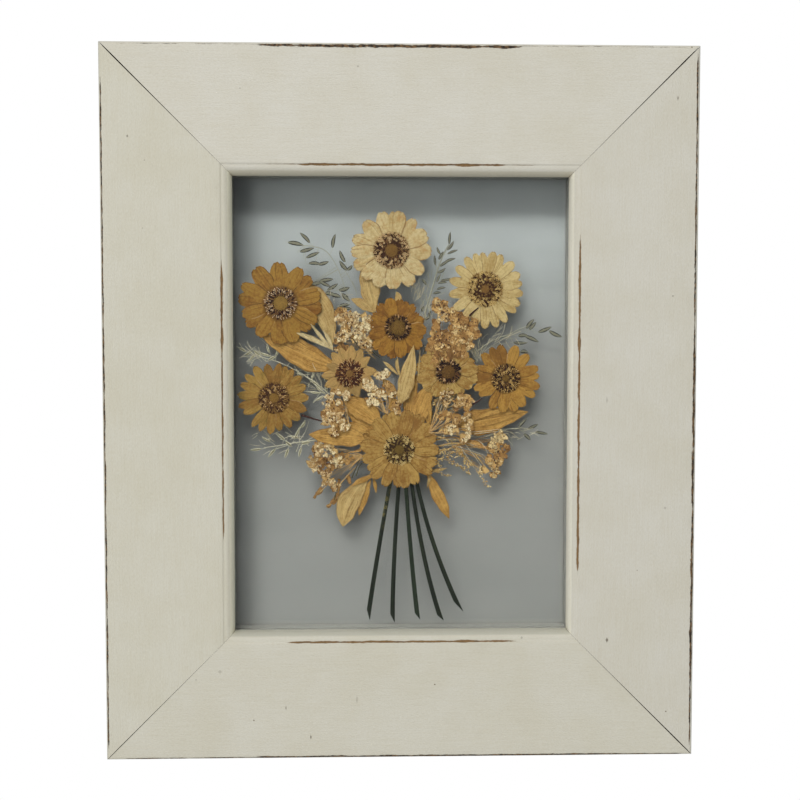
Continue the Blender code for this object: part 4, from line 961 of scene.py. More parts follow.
# A band of the disc: its outer share, and the shares of dark, middling and pale florets in it,
# then how far they are drawn out.  A petal: its heading, how far it reaches and its half width.
# The petals' tones: pale, deep, edge and at times a flush.  The disc's: heart, dark, middle, pale.
HEADS = {
    "flower_top": {
        "at": (-4.0, 65.8), "disc": 7.6, "tip": 0.74, "round": 1.8, "blunt": 3.2, "notch": 0.9,
        "layer": 3, "slot": "straw_petals", "ground": 1.0, "browned": (),
        "petal_tones": ((215, 197, 148), (187, 159, 102), (131, 94, 51), (194, 150, 95)),
        "disc_tones": ((132, 98, 46), (70, 44, 26), (136, 98, 58), (210, 180, 130)),
        "bands": ((0.42, 0, 0, 0, 1), (0.56, 0.6, 0.34, 0.06, 1), (0.74, 0.36, 0.24, 0.4, 1.2),
                  (1.0, 0.34, 0.2, 0.46, 1.2)),
        "petals": [(-15, 17.0, 3.6), (9, 17.1, 4.4), (37, 16.8, 2.9), (63, 17.0, 4.2), (90, 17.1, 4.2),
                   (124, 16.6, 3.3), (149, 17.4, 3.4), (176, 16.5, 3.8), (203, 16.6, 3.8), (226, 16.9, 3.6),
                   (248, 17.5, 3.6), (268, 17.5, 3.2), (288, 17.5, 3.4), (315, 17.0, 3.6)]},
    "flower_upper_left": {
        "at": (-51.3, 43.3), "disc": 6.9, "tip": 0.76, "round": 2.0, "blunt": 3.0, "notch": 0.8,
        "layer": 3, "slot": "orange_petals", "ground": 1.0, "browned": (),
        "petal_tones": ((167, 128, 52), (128, 83, 24), (74, 44, 13)),
        "disc_tones": ((152, 120, 56), (54, 32, 24), (134, 98, 58), (222, 194, 154)),
        "bands": ((0.5, 0, 0, 0, 1), (0.66, 0.36, 0.44, 0.2, 1.3), (0.84, 0.3, 0.3, 0.4, 1.5),
                  (1.0, 0.16, 0.42, 0.42, 1.5)),
        "petals": [(-3, 17.6, 4.2), (29, 17.4, 3.4), (49, 17.2, 3.4), (77, 17.6, 4.0), (97, 17.8, 3.8),
                   (116, 17.6, 3.2), (134, 17.0, 3.2), (158, 17.6, 4.0), (183, 17.8, 4.4), (214, 17.2, 3.4),
                   (236, 17.6, 3.0), (253, 17.2, 3.2), (277, 18.2, 3.6), (296, 18.4, 3.0),
                   (323, 18.5, 4.2)]},
    "flower_upper_right": {
        "at": (36.1, 49.5), "disc": 7.6, "tip": 0.82, "round": 1.9, "blunt": 2.4, "notch": 0.2,
        "layer": 3, "slot": "straw_petals", "ground": 0.7, "browned": (),
        "petal_tones": ((217, 196, 139), (182, 153, 93), (129, 94, 48)),
        "disc_tones": ((136, 100, 50), (60, 34, 18), (140, 106, 54), (214, 184, 116)),
        "bands": ((0.28, 0, 0, 0, 1), (0.5, 0.66, 0.3, 0.04, 1), (0.66, 0.3, 0.36, 0.34, 1.2),
                  (1.0, 0.14, 0.26, 0.6, 1.2)),
        "petals": [(-32, 16.1, 2.2), (-17, 15.9, 2.0), (-4, 15.7, 2.0), (12, 16.4, 2.2), (27, 16.4, 2.3),
                   (47, 16.8, 2.4), (66, 16.4, 2.4), (82, 16.2, 2.1), (97, 16.5, 2.2), (115, 16.5, 2.2),
                   (128, 16.6, 2.1), (147, 17.0, 2.2), (162, 17.2, 2.2), (181, 17.0, 2.2), (198, 16.6, 2.3),
                   (216, 16.4, 2.3), (238, 16.2, 2.4), (262, 15.8, 2.3), (284, 15.8, 2.2),
                   (306, 15.8, 2.3)]},
    "flower_middle": {
        "at": (-1.3, 33.0), "disc": 5.5, "tip": 0.74, "round": 1.7, "blunt": 2.4, "notch": 0.9,
        "layer": 3, "slot": "brown_petals", "ground": 0.0, "browned": (150,),
        "petal_tones": ((170, 124, 45), (125, 80, 22), (83, 51, 14)),
        "disc_tones": ((122, 92, 38), (36, 20, 18), (118, 84, 46), (196, 156, 108)),
        "bands": ((0.6, 0, 0, 0, 1), (0.78, 0.5, 0.3, 0.1, 1), (1.0, 0.5, 0.22, 0.28, 1.6)),
        "petals": [(-40, 13.2, 3.2), (-18, 13.3, 3.0), (4, 12.3, 2.6), (20, 11.9, 2.4), (36, 12.3, 2.4),
                   (55, 10.9, 2.2), (72, 12.0, 2.6), (96, 12.4, 3.4), (112, 11.7, 2.4), (130, 13.4, 3.0),
                   (150, 12.6, 3.0), (172, 13.2, 3.0), (192, 13.8, 3.0), (211, 14.0, 3.0), (231, 14.0, 3.0),
                   (254, 13.0, 3.0), (276, 12.3, 2.8), (297, 12.6, 2.8)]},
    "flower_left_of_middle": {
        "at": (-22.0, 13.3), "disc": 6.1, "tip": 0.6, "round": 1.9, "blunt": 2.2, "notch": 0.4,
        "layer": 4, "slot": "amber_petals", "ground": 1.0, "browned": (160, 290),
        "petal_tones": ((193, 155, 92), (169, 139, 81), (85, 52, 20)),
        "disc_tones": ((140, 104, 54), (72, 40, 24), (134, 90, 48), (206, 168, 112)),
        "bands": ((0.3, 0, 0, 0, 1), (0.56, 0.3, 0.5, 0.2, 1.2), (0.8, 0.4, 0.28, 0.32, 1.5),
                  (1.0, 0.36, 0.34, 0.3, 1.6)),
        "petals": [(-18, 12.0, 2.6), (4, 12.2, 2.6), (25, 12.0, 2.6), (52, 11.3, 2.2), (82, 11.8, 2.6),
                   (106, 10.2, 2.4), (128, 9.9, 2.6), (160, 10.6, 3.0), (188, 10.1, 3.0), (207, 10.2, 2.0),
                   (224, 12.0, 2.0), (243, 12.0, 2.4), (264, 12.0, 2.6), (290, 10.6, 2.0),
                   (318, 12.0, 2.6)]},
    "flower_right_of_middle": {
        "at": (20.3, 14.0), "disc": 5.4, "tip": 0.76, "round": 1.7, "blunt": 2.8, "notch": 0.7,
        "layer": 4, "slot": "orange_petals", "ground": 0.0, "browned": (),
        "petal_tones": ((197, 168, 96), (155, 115, 54), (97, 68, 31)),
        "disc_tones": ((112, 80, 34), (32, 16, 18), (112, 76, 42), (210, 172, 124)),
        "bands": ((0.56, 0, 0, 0, 1), (0.76, 0.5, 0.34, 0.14, 1.2), (1.0, 0.54, 0.16, 0.26, 1.6)),
        "petals": [(-24, 13.2, 3.0), (2, 13.8, 3.2), (20, 13.6, 3.0), (46, 12.0, 2.6), (66, 12.4, 2.8),
                   (86, 13.2, 3.0), (106, 13.2, 3.0), (124, 12.2, 2.6), (146, 11.6, 2.8), (168, 10.6, 2.6),
                   (190, 10.5, 2.4), (212, 12.2, 3.0), (234, 13.0, 3.0), (256, 14.0, 3.2), (278, 14.2, 3.2),
                   (300, 13.4, 3.0), (320, 13.2, 3.0)]},
    "flower_right": {
        "at": (45.1, 11.2), "disc": 6.2, "tip": 0.72, "round": 1.9, "blunt": 2.6, "notch": 0.4,
        "layer": 3, "slot": "orange_petals", "ground": 0.6, "browned": (-25, -8, 272),
        "petal_tones": ((186, 143, 64), (144, 99, 36), (78, 50, 20)),
        "disc_tones": ((120, 90, 38), (44, 24, 18), (130, 96, 48), (208, 172, 104)),
        "bands": ((0.3, 0, 0, 0, 1), (0.5, 0.2, 0.5, 0.3, 1), (0.72, 0.46, 0.3, 0.24, 1.2),
                  (1.0, 0.2, 0.36, 0.44, 1.4)),
        "petals": [(-43, 15.0, 2.6), (-25, 14.9, 2.3), (-8, 14.9, 2.5), (18, 14.9, 2.7), (42, 14.3, 2.7),
                   (71, 14.9, 2.5), (87, 14.7, 2.2), (106, 15.3, 2.7), (121, 15.0, 2.4), (145, 14.6, 3.0),
                   (165, 15.0, 2.8), (184, 15.0, 2.8), (205, 14.6, 2.6), (236, 13.6, 2.4), (252, 14.6, 2.4),
                   (272, 15.4, 2.8), (292, 13.8, 2.6)]},
    "flower_left": {
        "at": (-54.3, 2.9), "disc": 6.5, "tip": 0.72, "round": 1.9, "blunt": 2.0, "notch": 0.5,
        "layer": 3, "slot": "amber_petals", "ground": 0.8, "browned": (-12, 8, 110),
        "petal_tones": ((174, 140, 68), (140, 98, 37), (87, 59, 23), (132, 117, 49)),
        "disc_tones": ((140, 106, 46), (74, 46, 26), (142, 106, 56), (206, 170, 112)),
        "bands": ((0.38, 0, 0, 0, 1), (0.52, 0.3, 0.5, 0.2, 1), (0.72, 0.46, 0.4, 0.14, 1.2),
                  (0.88, 0.2, 0.4, 0.4, 1.4), (1.0, 0.5, 0.36, 0.14, 1.3)),
        "petals": [(-12, 15.0, 2.4), (8, 15.2, 2.2), (20, 14.8, 2.0), (35, 15.0, 2.2), (52, 15.0, 2.4),
                   (70, 14.8, 2.4), (90, 15.0, 2.4), (110, 15.0, 2.4), (130, 14.6, 2.6), (150, 14.8, 2.2),
                   (170, 14.6, 2.2), (187, 15.8, 2.2), (203, 15.8, 1.9), (217, 15.6, 1.8), (243, 14.8, 2.2),
                   (257, 15.8, 2.0), (276, 15.8, 2.3), (293, 15.7, 2.2), (310, 16.0, 2.1),
                   (329, 16.0, 2.3)]},
    "flower_big": {
        "at": (-0.7, -19.3), "disc": 6.6, "tip": 0.74, "round": 1.8, "blunt": 2.6, "notch": 1.1,
        "layer": 4.3, "slot": "orange_petals", "ground": 0.8, "browned": (34,),
        "petal_tones": ((189, 154, 82), (145, 104, 44), (97, 64, 27)),
        "disc_tones": ((116, 92, 38), (58, 38, 18), (132, 104, 50), (218, 192, 126)),
        "bands": ((0.36, 0, 0, 0, 1), (0.58, 0.5, 0.4, 0.1, 1), (0.76, 0.4, 0.36, 0.24, 1.1),
                  (1.0, 0.3, 0.2, 0.5, 1.3)),
        "petals": [(-9, 16.8, 3.6), (14, 17.6, 3.6), (34, 17.8, 3.4), (52, 17.6, 3.2), (70, 17.2, 3.2),
                   (90, 17.2, 3.4), (110, 17.5, 3.2), (127, 17.7, 2.9), (152, 16.8, 3.2), (171, 17.0, 3.2),
                   (184, 16.6, 2.4), (203, 17.3, 2.7), (224, 17.2, 3.0), (237, 16.2, 2.2), (254, 17.0, 3.0),
                   (275, 17.2, 3.4), (297, 17.2, 3.2), (320, 17.0, 3.2), (338, 16.6, 3.0)]},
}


def make_heads():
    """Make the nine heads, each in its own petals and disc."""
    for seed, (name, head) in enumerate(HEADS.items()):
        root_shade = PALE_ROOTS.get(name, ROOT_SHADE)
        finishes = [petal_finish(name + "_petals", root_shade, *head["petal_tones"]),
                    disc_finish(name + "_florets", *head["disc_tones"])]
        make_head(name, head, finishes, HEAD_SEED + seed)


# ---------------------------------------------------------------- leaves, strips and stems

def add_leaf(growth, points, half_width, height, chance, skew=1.0, ragged=1.0, material=0):
    """Add a dried leaf along a bent midrib, its edges a little ragged and its blade ribbed."""
    wave, phase = chance.uniform(0.05, 0.11) * ragged, chance.uniform(0, 6)

    def shape(side, share):
        where, heading = bend(points, share)
        width = max(0.12, half_width * math.sin(math.pi * min(1.0, share ** skew)) ** 0.85)
        width *= 1 + wave * math.sin(9 * share + phase + side * 2) + 0.05 * math.sin(23 * share + phase)
        fold = 0.16 * math.cos(7.5 * side + phase) + 0.08 * math.sin(6 * share + phase)
        place = where + Vector((heading.y, -heading.x)) * (width * side)
        return place.x, place.y, height + 0.5 * fold * (1 - 0.6 * abs(side)) * min(1.0, half_width / 3)

    columns, rows = WIDE_LEAF_GRID if half_width > 2 else NARROW_LEAF_GRID
    growth.blade(columns, rows, shape, chance.random(), material)


LEAVES = {
    "leaf_under_top": (((-15.0, 64.0), (-13.5, 51.5), (-11.0, 39.5)), 4.3, 1, "pale_leaf", 1.0),
    "leaf_upper_left": (((-43.5, 51.0), (-34.4, 42.0), (-29.6, 26.0)), 5.2, 1, "pale_leaf", 1.0),
    "leaf_left_long": (((-26.5, 14.5), (-43.0, 22.0), (-60.0, 30.0)), 5.6, 1, "golden_leaf", 0.9),
    "leaf_upright": (((-0.6, 0.2), (2.6, 11.0), (5.4, 25.5)), 3.5, 5, "pale_leaf", 0.9),
    "leaf_beside_upright": (((3.5, -12.0), (9.0, -0.5), (12.0, 9.0)), 4.2, 3, "golden_leaf", 0.9),
    "leaf_middle_left": (((-8.0, -9.0), (-16.5, -2.0), (-25.0, 2.5)), 5.0, 3, "golden_leaf", 1.0),
    "leaf_pointing_left": (((-14.0, -14.5), (-28.0, -13.5), (-39.5, -12.8)), 4.4, 3, "golden_leaf", 0.8),
    "leaf_right": (((24.5, -9.0), (40.0, -6.5), (55.0, -3.2)), 5.6, 1, "golden_leaf", 0.66),
    "leaf_lower_left": (((-11.5, -29.0), (-21.0, -40.0), (-25.0, -52.8)), 5.0, 1, "pale_leaf", 1.5),
    "leaf_lower_right": (((11.0, -28.5), (16.2, -39.5), (21.0, -49.5)), 2.7, 1, "golden_leaf", 1.1),
}

# More blades that lie with a leaf: points, half width, height above the leaf's layer, skew
WITH_LEAVES = {
    "leaf_left_long": [
        ([(-44.5, 30.7), (-36.8, 27.7), (-29.1, 23.4)], 1.15, 1.5, 0.8),
        ([(-38.5, 34.5), (-33.8, 28.6), (-29.9, 23.9)], 0.8, 1.5, 0.9),
        ([(-33.3, 32.0), (-30.8, 27.7), (-29.1, 23.0)], 0.9, 1.5, 1.0)],
    "leaf_upper_left": [
        ([(-33.7, 40.5), (-30.3, 34.1), (-29.1, 25.6)], 1.6, 0.5, 1.0)],
    "leaf_lower_left": [
        ([(-12.9, -32.6), (-15.9, -40.0), (-18.1, -48.2)], 1.9, -0.3, 1.1),
        ([(-12.0, -31.8), (-11.1, -34.8), (-10.7, -38.3)], 0.8, 0.3, 1.0),
        ([(-21.1, -35.2), (-16.8, -32.6), (-9.8, -30.0)], 1.2, 0.5, 1.0)],
    "leaf_lower_right": [
        ([(12.6, -28.8), (16.1, -28.4), (20.0, -27.5)], 0.8, 0.5, 0.8),
        ([(12.6, -30.1), (12.2, -32.7), (11.3, -36.2)], 0.6, 0.5, 1.0)],
    "leaf_upright": [
        ([(-7.7, 18.7), (-4.6, 16.1), (-1.2, 12.7)], 0.8, -1.0, 1.0),
        ([(-1.2, 20.0), (-1.6, 16.6), (0.1, 11.4)], 0.8, -1.1, 1.0),
        ([(8.2, 23.4), (7.8, 17.0), (7.0, 10.1)], 0.35, -0.5, 1.0),
        ([(0.5, 1.1), (1.8, 2.4), (4.0, 3.2)], 0.7, -0.4, 1.0)],
    "leaf_beside_upright": [
        ([(3.5, -6.7), (4.0, 2.8), (7.0, 13.1)], 2.9, -0.9, 1.0),
        ([(13.5, -10.2), (10.9, -1.5), (10.0, 8.0)], 2.4, -0.7, 1.0),
        ([(10.8, 5.8), (12.1, -0.2), (12.6, -7.1)], 1.0, 0.7, 1.0),
        ([(-8.1, 11.0), (-4.7, 7.1), (-2.1, 2.8)], 2.1, 0.2, 1.0),
        ([(-5.5, 3.2), (-2.9, -0.6), (-3.8, -5.8)], 2.4, 0.2, 1.0)],
    "leaf_middle_left": [
        ([(-23.6, -2.3), (-16.3, -7.1), (-7.2, -14.4)], 3.2, -0.7, 1.0),
        ([(-25.3, -8.4), (-17.6, -10.1), (-9.0, -15.3)], 1.8, -0.4, 1.0),
        ([(-13.7, 1.5), (-9.8, 1.1), (-5.9, 1.5)], 0.45, -1.0, 1.0),
        ([(-16.7, -12.3), (-15.0, -11.8), (-13.7, -12.3)], 0.4, 1.2, 1.0)],
    "leaf_right": [
        ([(31.6, -6.7), (38.5, -3.7), (48.9, -2.0)], 1.2, 0.45, 0.9),
        ([(34.2, -9.8), (42.9, -6.8), (49.8, -5.0)], 0.8, 0.45, 0.9)],
}

# Pale, deep and streak
LEAF_TONES = {
    "golden_leaf": ((212, 168, 88), (170, 125, 55), (112, 74, 30)),
    "pale_leaf": ((210, 183, 122), (181, 147, 84), (134, 100, 53)),
    "cream_strip": ((228, 212, 164), (200, 178, 126), (150, 120, 74)),
}

# The finish of the blades with a leaf, where it isn't the pale one
OTHER_BLADES = {"leaf_left_long": "cream_strip", "leaf_under_top": "golden_leaf",
                "leaf_lower_left": "golden_leaf"}

# Leaves whose other blades are of their own finish
REDDER = ("leaf_right", "leaf_beside_upright", "leaf_middle_left")

# Loose leaves: points and half width
SMALL_LEAVES = (([(-21.3, 45.2), (-16.6, 43.1), (-11.5, 39.3)], 2.0),
                ([(-2.1, 48.3), (-1.2, 45.7), (-2.9, 42.3)], 1.5))


def make_leaves():
    """Make the golden leaves and the narrow blades that lie with them."""
    finishes = {name: leaf_finish(name, *tones) for name, tones in LEAF_TONES.items()}
    for seed, (name, (points, half_width, layer, slot, skew)) in enumerate(LEAVES.items()):
        chance, growth = random.Random(LEAF_SEED + seed), Growth()
        height = layer_floor(layer) + LEAF_LIFT
        add_leaf(growth, points, half_width, height, chance, skew)
        material = 0 if name in REDDER else 1
        for blade, half, lift, blade_skew in WITH_LEAVES.get(name, ()):
            add_leaf(growth, blade, half, height + lift, chance, blade_skew, 0.6, material)
        second = OTHER_BLADES.get(name, "pale_leaf")
        growth.finish(name + "_blade", [finishes[slot], finishes[second]], slot, [name], 0.1)
    chance, growth = random.Random(SMALL_LEAF_SEED), Growth()
    for points, half_width in SMALL_LEAVES:
        add_leaf(growth, points, half_width, layer_floor(2) + SMALL_LEAF_LIFT, chance)
    growth.finish("leaf_small_blades", [finishes["pale_leaf"]], "pale_leaf", thickness=0.1)


# Top, knee and tip, then how far the tip is cut, the layer and the tint
STEMS = {
    "stem_far_left": ((-3.2, -26.0), (-9.5, -62.0), (-14.4, -93.5), 5.2, 2.2, 0.0),
    "stem_left": ((-0.2, -26.0), (-2.7, -64.0), (-3.6, -95.0), 4.8, 0.4, 0.35),
    "stem_middle": ((1.6, -26.0), (4.4, -64.0), (7.4, -93.5), 4.2, 2.2, 1.0),
    "stem_right": ((3.6, -26.0), (9.7, -64.0), (17.8, -94.5), 4.0, 0.4, 0.4),
    "stem_far_right": ((5.4, -26.0), (13.4, -58.0), (26.3, -90.5), 5.5, 2.2, 0.45),
}


def make_stems():
    """Make the five green stems, flattened, ribbed and cut slantwise."""
    green = stem_finish()
    for name, (top, knee, tip, cut, layer, tint) in STEMS.items():
        growth = Growth()
        path = partial(bend, (top, knee, tip))
        length = (Vector(tip) - Vector(top)).length
        growth.stalk(12, 30, path, layer_floor(layer) + STALK_LIFT, lambda share: 0.8 + 0.2 * share,
                     lambda share: 0.36, tint, cut / length)
        growth.finish(name + "_stalk", [green], "green_stem", [name])


# ---------------------------------------------------------------- grass

def add_spikelet(growth, x, z, length, lean, height, half_width, chance):
    """Add a grass spikelet, slightly bent, keeled down its middle."""
    out, right = ways(lean)
    bow, half = chance.uniform(-0.3, 0.3), half_width * chance.uniform(0.85, 1.12)

    def shape(side, share):
        full = math.sin(math.pi * (0.04 + 0.94 * share) ** 0.85) ** 0.7
        aside = half * full * side + bow * math.sin(math.pi * share)
        place = out * (length * (share - 0.5)) + right * aside
        return x + place.x, z + place.y, height + 0.2 * (1 - abs(side)) * full

    growth.blade(*SPIKELET_GRID, shape, chance.random())
    return Vector((x, z)) - out * length / 2, out


def nearest_on(stem, place):
    """Return the nearest place to a point on a stem given as points."""
    found = []
    for start, end in zip(map(Vector, stem), map(Vector, stem[1:])):
        run = end - start
        share = max(0.0, min(1.0, (place - start).dot(run) / run.length_squared))
        found.append(start + run * share)
    return min(found, key=lambda point: (point - place).length)


def make_sprig(name, sprig, finish, seed):
    """Make a grass sprig: stem, stalks, spikelets and the fine hairs between them."""
    slot, (thick, half_width), stem, spikelets, hairs = sprig
    chance, growth = random.Random(seed), Growth()
    height = layer_floor(0) + SPRIG_LIFT
    growth.thread(stem, height, thick, 2.0, rows=40)
    for x, z, length, lean in spikelets:
        foot, out = add_spikelet(growth, x, z, length, lean, height, half_width, chance)
        root = nearest_on(stem, foot - out * 2.5)
        growth.thread([root, foot - out * 1.2, foot + out * 0.4], height, SPIKELET_STALK, 2.0)
    for hair in hairs:
        growth.thread(hair, height + chance.uniform(-0.1, 0.3), SPRIG_HAIR, 2.0)
    growth.finish(name + "_sprig", [finish], slot, [name], 0.08)


# Husk, rim and stalk
GRASS_TONES = {
    "dry_grass": ((142, 140, 116), (32, 33, 24), (168, 168, 148)),
    "pale_grass": ((126, 122, 94), (210, 206, 176), (214, 210, 184)),
}

# Slot, half the stem's width and half a spikelet's, the stem's points, the spikelets as
# (x, z, length, lean) and the hairs as points
SPRIGS = {
    "grass_upper_left": (
        "dry_grass", (0.2, 0.86),
        [(-41.5, 68.0), (-37.0, 67.5), (-32.5, 66.0), (-29.0, 62.0), (-26.0, 56.0), (-22.5, 46.0),
         (-20.0, 38.0)],
        [(-41.0, 71.3, 6.0, -45), (-44.8, 68.7, 6.7, 101), (-40.1, 66.2, 6.2, 75), (-37.6, 64.0, 6.0, 68),
         (-36.7, 60.3, 5.2, 93), (-33.1, 60.6, 4.7, 75), (-28.6, 70.0, 6.0, 12), (-25.0, 63.5, 5.4, -25),
         (-24.6, 59.6, 5.2, -39), (-21.9, 58.6, 3.0, 47), (-36.3, 51.7, 4.7, 80), (-31.7, 53.4, 5.6, 82),
         (-32.5, 51.8, 5.2, 117), (-29.2, 50.4, 5.2, 58), (-24.2, 49.6, 4.7, 75), (-30.4, 47.7, 3.9, 95),
         (-27.8, 46.6, 4.3, 103), (-23.5, 45.9, 4.7, 135), (-24.2, 42.5, 4.7, 82), (-23.1, 41.2, 3.9, 95),
         (-28.7, 39.9, 3.4, 100)],
        [[(-26.0, 61.0), (-21.7, 53.8), (-19.2, 48.2)], [(-20.9, 52.9), (-19.2, 49.1), (-18.8, 45.7)]]),
    "grass_upper_right": (
        "dry_grass", (0.42, 0.6),
        [(9.0, 33.0), (11.5, 43.0), (14.0, 51.5), (16.2, 59.0), (18.6, 65.0), (20.6, 68.6)],
        [(21.0, 71.4, 5.2, 5), (21.3, 68.2, 4.7, 35), (22.3, 65.5, 4.7, 70), (16.2, 66.0, 3.4, -25),
         (17.3, 63.9, 3.9, 30), (14.7, 61.9, 4.3, -5), (21.1, 61.8, 5.2, 70), (18.7, 60.4, 4.3, 60),
         (17.5, 57.5, 3.9, 60), (16.3, 54.3, 3.9, 25), (19.8, 53.7, 5.2, 80), (17.4, 49.8, 3.9, 78),
         (17.9, 52.2, 3.9, 85), (15.4, 45.3, 3.0, 110), (13.9, 43.0, 2.6, 70), (9.5, 41.1, 2.6, 20),
         (12.3, 38.9, 3.4, 20), (11.3, 37.2, 3.0, 60), (10.0, 52.6, 3.0, -40), (15.6, 47.9, 3.4, 80)],
        [[(12.1, 57.2), (11.6, 52.5)], [(11.2, 56.4), (12.9, 52.1)], [(9.9, 53.8), (12.5, 49.1)],
         [(7.8, 52.1), (10.8, 46.1)], [(8.6, 49.1), (11.7, 44.9)], [(13.4, 57.7), (12.9, 53.4)],
         [(18.5, 56.8), (17.2, 53.0)], [(19.0, 48.3), (15.9, 46.6)], [(6.5, 48.3), (9.9, 43.6)],
         [(13.8, 41.0), (16.0, 43.2), (17.2, 43.6)], [(8.2, 46.6), (9.9, 42.3)],
         [(15.1, 59.8), (16.4, 56.8)]]),
    "grass_right": (
        "dry_grass", (0.3, 0.84),
        [(33.2, 23.0), (38.0, 26.5), (42.3, 28.6), (47.0, 30.3), (51.3, 32.5), (54.8, 33.8)],
        [(55.8, 34.7, 5.2, 40), (56.9, 33.8, 4.3, 42), (62.2, 32.3, 6.0, 68), (66.8, 30.4, 6.0, 115),
         (52.7, 29.7, 3.9, 86), (56.5, 28.2, 6.4, 114), (51.7, 26.6, 6.0, 90), (53.3, 22.6, 3.4, 95)],
        [[(37.5, 26.0), (40.1, 29.5), (42.2, 32.5)], [(47.4, 29.0), (47.9, 31.6), (48.3, 33.8)],
         [(50.9, 32.9), (51.3, 35.5)], [(31.5, 24.3), (32.4, 20.9), (32.8, 17.4)],
         [(31.1, 20.9), (31.9, 17.9)], [(34.1, 26.9), (33.2, 30.3), (32.3, 32.9)],
         [(32.3, 31.6), (32.8, 27.7), (34.1, 23.9)], [(42.7, 24.7), (45.3, 21.7)],
         [(37.5, 23.9), (42.7, 26.0), (48.3, 26.5)]]),
    "grass_lower_right": (
        "dry_grass", (0.26, 0.74),
        [(26.9, -12.4), (37.7, -11.5), (46.3, -10.7), (54.1, -10.2)],
        [(52.7, -8.1, 5.2, 44), (57.3, -9.7, 4.7, 64), (61.0, -12.4, 5.6, 100), (54.8, -14.2, 3.9, 135)],
        [[(41.6, -12.4), (45.1, -14.1), (46.8, -16.3)], [(46.3, -12.8), (47.7, -15.0), (48.5, -17.2)],
         [(34.2, -11.9), (36.4, -13.7), (38.6, -14.5)], [(35.9, -12.4), (38.5, -12.8), (40.7, -15.4)],
         [(32.5, -13.7), (35.5, -14.5), (38.1, -15.4)]]),
    "grass_left": (
        "pale_grass", (0.26, 0.56),
        [(-27.5, 1.5), (-35.0, 8.0), (-43.0, 13.5), (-52.0, 18.0), (-60.0, 20.5)],
        [(-57.9, 21.5, 5.2, 107), (-56.8, 23.9, 3.4, -20), (-53.2, 22.6, 3.4, 10), (-55.1, 20.0, 3.9, 60),
         (-63.4, 20.4, 3.9, 45), (-65.1, 22.1, 3.4, 60), (-61.7, 22.1, 3.4, 130), (-67.7, 23.4, 3.4, 120),
         (-36.9, 8.9, 6.0, 128), (-34.3, 6.2, 5.2, 130), (-36.7, 5.2, 5.2, 97), (-34.8, 2.8, 3.9, 60),
         (-39.9, 14.4, 3.4, 100), (-37.8, 12.7, 3.9, 20), (-32.6, 11.8, 3.9, -10), (-43.3, 12.7, 3.4, 120),
         (-32.2, 6.7, 3.0, -20)],
        [[(-68.4, 20.4), (-65.4, 22.6), (-62.0, 25.1)], [(-66.7, 25.1), (-63.7, 22.1), (-59.5, 18.3)],
         [(-66.3, 18.3), (-63.3, 20.9)], [(-64.6, 16.6), (-62.5, 20.0)],
         [(-61.1, 24.7), (-59.5, 20.0), (-56.9, 18.3)], [(-41.5, 16.6), (-38.1, 14.0), (-35.6, 8.8)],
         [(-38.5, 17.9), (-37.7, 13.1), (-38.6, 9.3)], [(-36.4, 17.4), (-38.6, 11.4)],
         [(-45.0, 10.1), (-40.7, 9.3), (-36.4, 6.7)], [(-42.0, 5.8), (-37.3, 5.0)],
         [(-34.7, 10.6), (-36.4, 14.9)], [(-48.8, 16.6), (-46.7, 19.1)], [(-45.8, 16.6), (-43.7, 13.6)],
         [(-37.7, 0.7), (-35.6, 2.4), (-31.3, 4.1)], [(-33.8, 15.7), (-35.1, 11.4)],
         [(-69.2, 26.4), (-67.5, 23.8)]]),
    "grass_lower_left": (
        "pale_grass", (0.24, 0.62),
        [(-33.0, -15.0), (-43.5, -16.2), (-52.0, -17.6), (-59.0, -18.6)],
        [(-62.5, -19.4, 4.8, -96), (-55.6, -21.0, 4.8, -140), (-49.2, -21.0, 4.4, -160),
         (-43.4, -20.6, 4.4, -165), (-58.0, -15.0, 4.4, -60), (-52.0, -13.6, 4.8, -50),
         (-44.5, -12.0, 5.6, 25), (-42.1, -8.4, 3.9, 30), (-45.6, -14.0, 3.9, 100), (-40.9, -16.6, 3.9, 80),
         (-48.2, -17.1, 3.4, 130)],
        [[(-43.8, -15.7), (-41.2, -11.8), (-39.5, -7.1)], [(-52.0, -15.2), (-46.8, -13.5), (-41.7, -14.0)],
         [(-49.8, -11.8), (-46.8, -13.5)], [(-43.4, -18.3), (-39.9, -15.2), (-36.9, -14.0)],
         [(-45.1, -20.4), (-43.4, -16.1)], [(-53.7, -19.1), (-49.4, -17.8), (-45.1, -15.7)],
         [(-39.5, -17.8), (-42.9, -15.2)], [(-50.2, -8.8), (-46.8, -12.2)]]),
}


def make_sprigs():
    """Make the grass sprigs that stand out behind the flowers."""
    finishes = {name: grass_finish(name, *tones) for name, tones in GRASS_TONES.items()}
    for seed, (name, sprig) in enumerate(SPRIGS.items()):
        make_sprig(name, sprig, finishes[sprig[0]], SPRIG_SEED + seed)


# ---------------------------------------------------------------- tiny blossoms

def add_floret(growth, x, z, height, radius, shade, chance):
    """Add a tiny crumpled blossom: small petals heaped askew, each of its own shade."""
    lean = Vector((chance.uniform(-0.2, 0.2), chance.uniform(-0.2, 0.2)))
    for petal in range(FLORET_PETALS):
        out, right = ways(chance.uniform(0, 360))
        reach, width = radius * chance.uniform(0.55, 1.0), chance.uniform(0.35, 0.75)
        cup, twist = chance.uniform(-0.3, 0.5), chance.uniform(-1.2, 1.2)
        start = out * (radius * chance.uniform(-0.35, 0.35)) + right * (radius * chance.uniform(-0.3, 0.3))

        def shape(side, share):
            across = width * reach * math.sin(math.pi * (0.14 + 0.72 * share)) * side
            place = start + out * (reach * share * (1 - 0.25 * side * side)) + right * across
            curl = cup * radius * (share * share * (0.4 + 0.6 * side * side) + twist * side * share)
            return x + place.x, z + place.y, height + curl * 0.6 + place.dot(lean) + 0.04 * petal

        growth.blade(*FLORET_GRID, shape, shade + chance.uniform(-0.5, 0.9))


